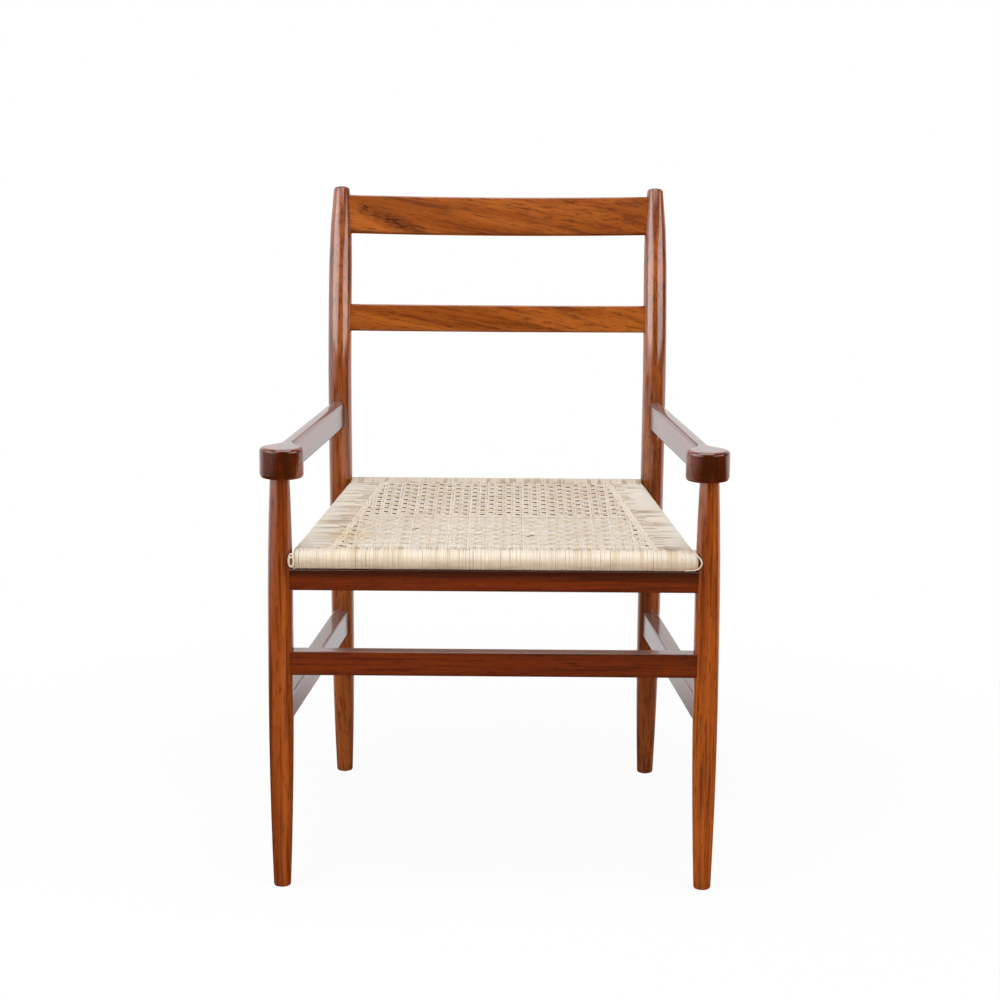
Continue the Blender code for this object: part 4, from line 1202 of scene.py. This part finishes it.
def add_world(studio):
    """White all round for the eye, with a level ambient light.

    The lacquer sees it bright behind the chair and at its left, and dark in front.
    """
    world = bpy.data.worlds.new("studio")
    bpy.context.scene.world = world
    world.use_nodes = True
    tree = world.node_tree
    tree.nodes.clear()
    path = tree.nodes.new("ShaderNodeLightPath")
    heading = add_node(tree, "ShaderNodeSeparateXYZ",
                       {0: tree.nodes.new("ShaderNodeTexCoord").outputs["Generated"]})
    behind = times(tree, band(tree, heading.outputs["Y"], 0.30, 0.85, 0.0, studio.backdrop),
                   band(tree, heading.outputs["Z"], -0.30, -0.20))
    left = band(tree, heading.outputs["X"], -0.40, -0.80, studio.room, studio.side)
    mirrored, seen, ambient = (
        add_node(tree, "ShaderNodeBackground", {"Color": WHITE, "Strength": strength}).outputs[0]
        for strength in (greater(tree, behind, left), 1.0, studio.ambient))
    glossy = add_node(tree, "ShaderNodeMixShader",
                      {0: path.outputs["Is Glossy Ray"], 1: ambient, 2: mirrored})
    direct = greater(tree, path.outputs["Is Camera Ray"], path.outputs["Is Transmission Ray"])
    whole = add_node(tree, "ShaderNodeMixShader", {0: direct, 1: glossy.outputs[0], 2: seen})
    output = tree.nodes.new("ShaderNodeOutputWorld")
    tree.links.new(whole.outputs[0], output.inputs["Surface"])


def add_floor(studio):
    """Pale floor that shows part of the chair's shadow to the eye.

    The lacquer sees it bright behind the chair and at its left, and dark in front.
    """
    half = studio.floor_size / 2
    mesh = bpy.data.meshes.new("floor")
    mesh.from_pydata([(-half, -half, 0.0), (half, -half, 0.0), (half, half, 0.0), (-half, half, 0.0)],
                     [], [(0, 1, 2, 3)])
    material = bpy.data.materials.new("studio_floor")
    material.use_nodes = True
    tree = material.node_tree
    tree.nodes.clear()
    place = tree.nodes.new("ShaderNodeTexCoord").outputs["Object"]
    tint = blended(tree, clouds(tree, place, (1.5, 1.5, 1.5)), studio.floor, PALE_GREY)
    matt = add_node(tree, "ShaderNodeBsdfDiffuse", {"Color": tint})
    path = tree.nodes.new("ShaderNodeLightPath")
    spread = add_node(tree, "ShaderNodeSeparateXYZ", {0: place})
    behind = band(tree, spread.outputs["Y"], 0.15, 0.85, 0.0, studio.backdrop)
    left = band(tree, spread.outputs["X"], -1.3, -2.6, studio.room, studio.side_floor)
    dimmed = maths(tree, "SUBTRACT", 1.0, greater(tree, behind, left))
    dimmed = times(tree, dimmed, path.outputs["Is Glossy Ray"])
    white = add_node(tree, "ShaderNodeEmission",
                     {"Color": WHITE, "Strength": maths(tree, "SUBTRACT", 1.0, dimmed)})
    seen = greater(tree, path.outputs["Is Camera Ray"], path.outputs["Is Transmission Ray"])
    away = distance(tree, place, (0.0, 0.0, 0.0), (1.0, 1.0, 1.0))
    kept = band(tree, away, studio.shadow_reach, 0.35 * studio.shadow_reach, 0.0, studio.shadow)
    far = distance(tree, place, FAR_FLOOR, (1 / FAR_FLOOR_HALF[0], 1 / FAR_FLOOR_HALF[1], 0.0))
    kept = greater(tree, kept, band(tree, far, 1.0, 0.75, 0.0, studio.dull))
    bright = times(tree, seen, maths(tree, "SUBTRACT", 1.0, kept))
    bright = greater(tree, bright, path.outputs["Is Glossy Ray"])
    whole = add_node(tree, "ShaderNodeMixShader", {0: bright, 1: matt.outputs[0], 2: white.outputs[0]})
    output = tree.nodes.new("ShaderNodeOutputMaterial")
    tree.links.new(whole.outputs[0], output.inputs["Surface"])
    mesh.materials.append(material)
    link(bpy.data.objects.new("floor", mesh))


class ARMCHAIR_OT_studio(bpy.types.Operator):
    """Camera, soft boxes, white surroundings and a pale floor"""
    bl_idname = "armchair.studio"
    bl_label = "Set Up Studio"

    def execute(self, context):
        studio = context.scene.armchair_studio
        context.scene.view_settings.view_transform = "Standard"
        add_camera(studio)
        add_world(studio)
        add_floor(studio)
        target = (CAD_BOX[0] + CAD_BOX[1]) / 2
        for name, (place, width, height) in LAMPS.items():
            add_lamp(name, Vector(place), target, width, height, getattr(studio, name))
        return {"FINISHED"}


OPERATORS = (ARMCHAIR_OT_uprights, ARMCHAIR_OT_arms, ARMCHAIR_OT_slats, ARMCHAIR_OT_rails,
             ARMCHAIR_OT_seat_frame, ARMCHAIR_OT_wound_borders, ARMCHAIR_OT_woven_field,
             ARMCHAIR_OT_studio)
SETTINGS = {"armchair_wood": WoodFinish, "armchair_cane": CaneFinish, "armchair_studio": StudioSettings}


class ARMCHAIR_PT_finish(bpy.types.Panel):
    """Lists the chair's settings and the steps that dress it"""
    bl_idname = "ARMCHAIR_PT_finish"
    bl_label = "Armchair"
    bl_space_type = "VIEW_3D"
    bl_region_type = "UI"
    bl_category = "Armchair"

    def draw(self, context):
        for name, group in SETTINGS.items():
            box = self.layout.box()
            for setting in group.__annotations__:
                box.prop(getattr(context.scene, name), setting)
        for operator in OPERATORS:
            self.layout.operator(operator.bl_idname)


CLASSES = (*SETTINGS.values(), *OPERATORS, ARMCHAIR_PT_finish)


def register():
    """Registers the classes and gives the scene their settings."""
    for item in CLASSES:
        bpy.utils.register_class(item)
    for name, group in SETTINGS.items():
        setattr(bpy.types.Scene, name, PointerProperty(type=group))


def unregister():
    """Takes back what register did."""
    for name in SETTINGS:
        delattr(bpy.types.Scene, name)
    for item in reversed(CLASSES):
        bpy.utils.unregister_class(item)


def main():
    """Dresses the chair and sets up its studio."""
    register()
    bpy.ops.armchair.uprights()
    bpy.ops.armchair.arms()
    bpy.ops.armchair.slats()
    bpy.ops.armchair.rails()
    bpy.ops.armchair.seat_frame()
    bpy.ops.armchair.wound_borders()
    bpy.ops.armchair.woven_field()
    bpy.ops.armchair.studio()


if __name__ == "__main__":
    main()
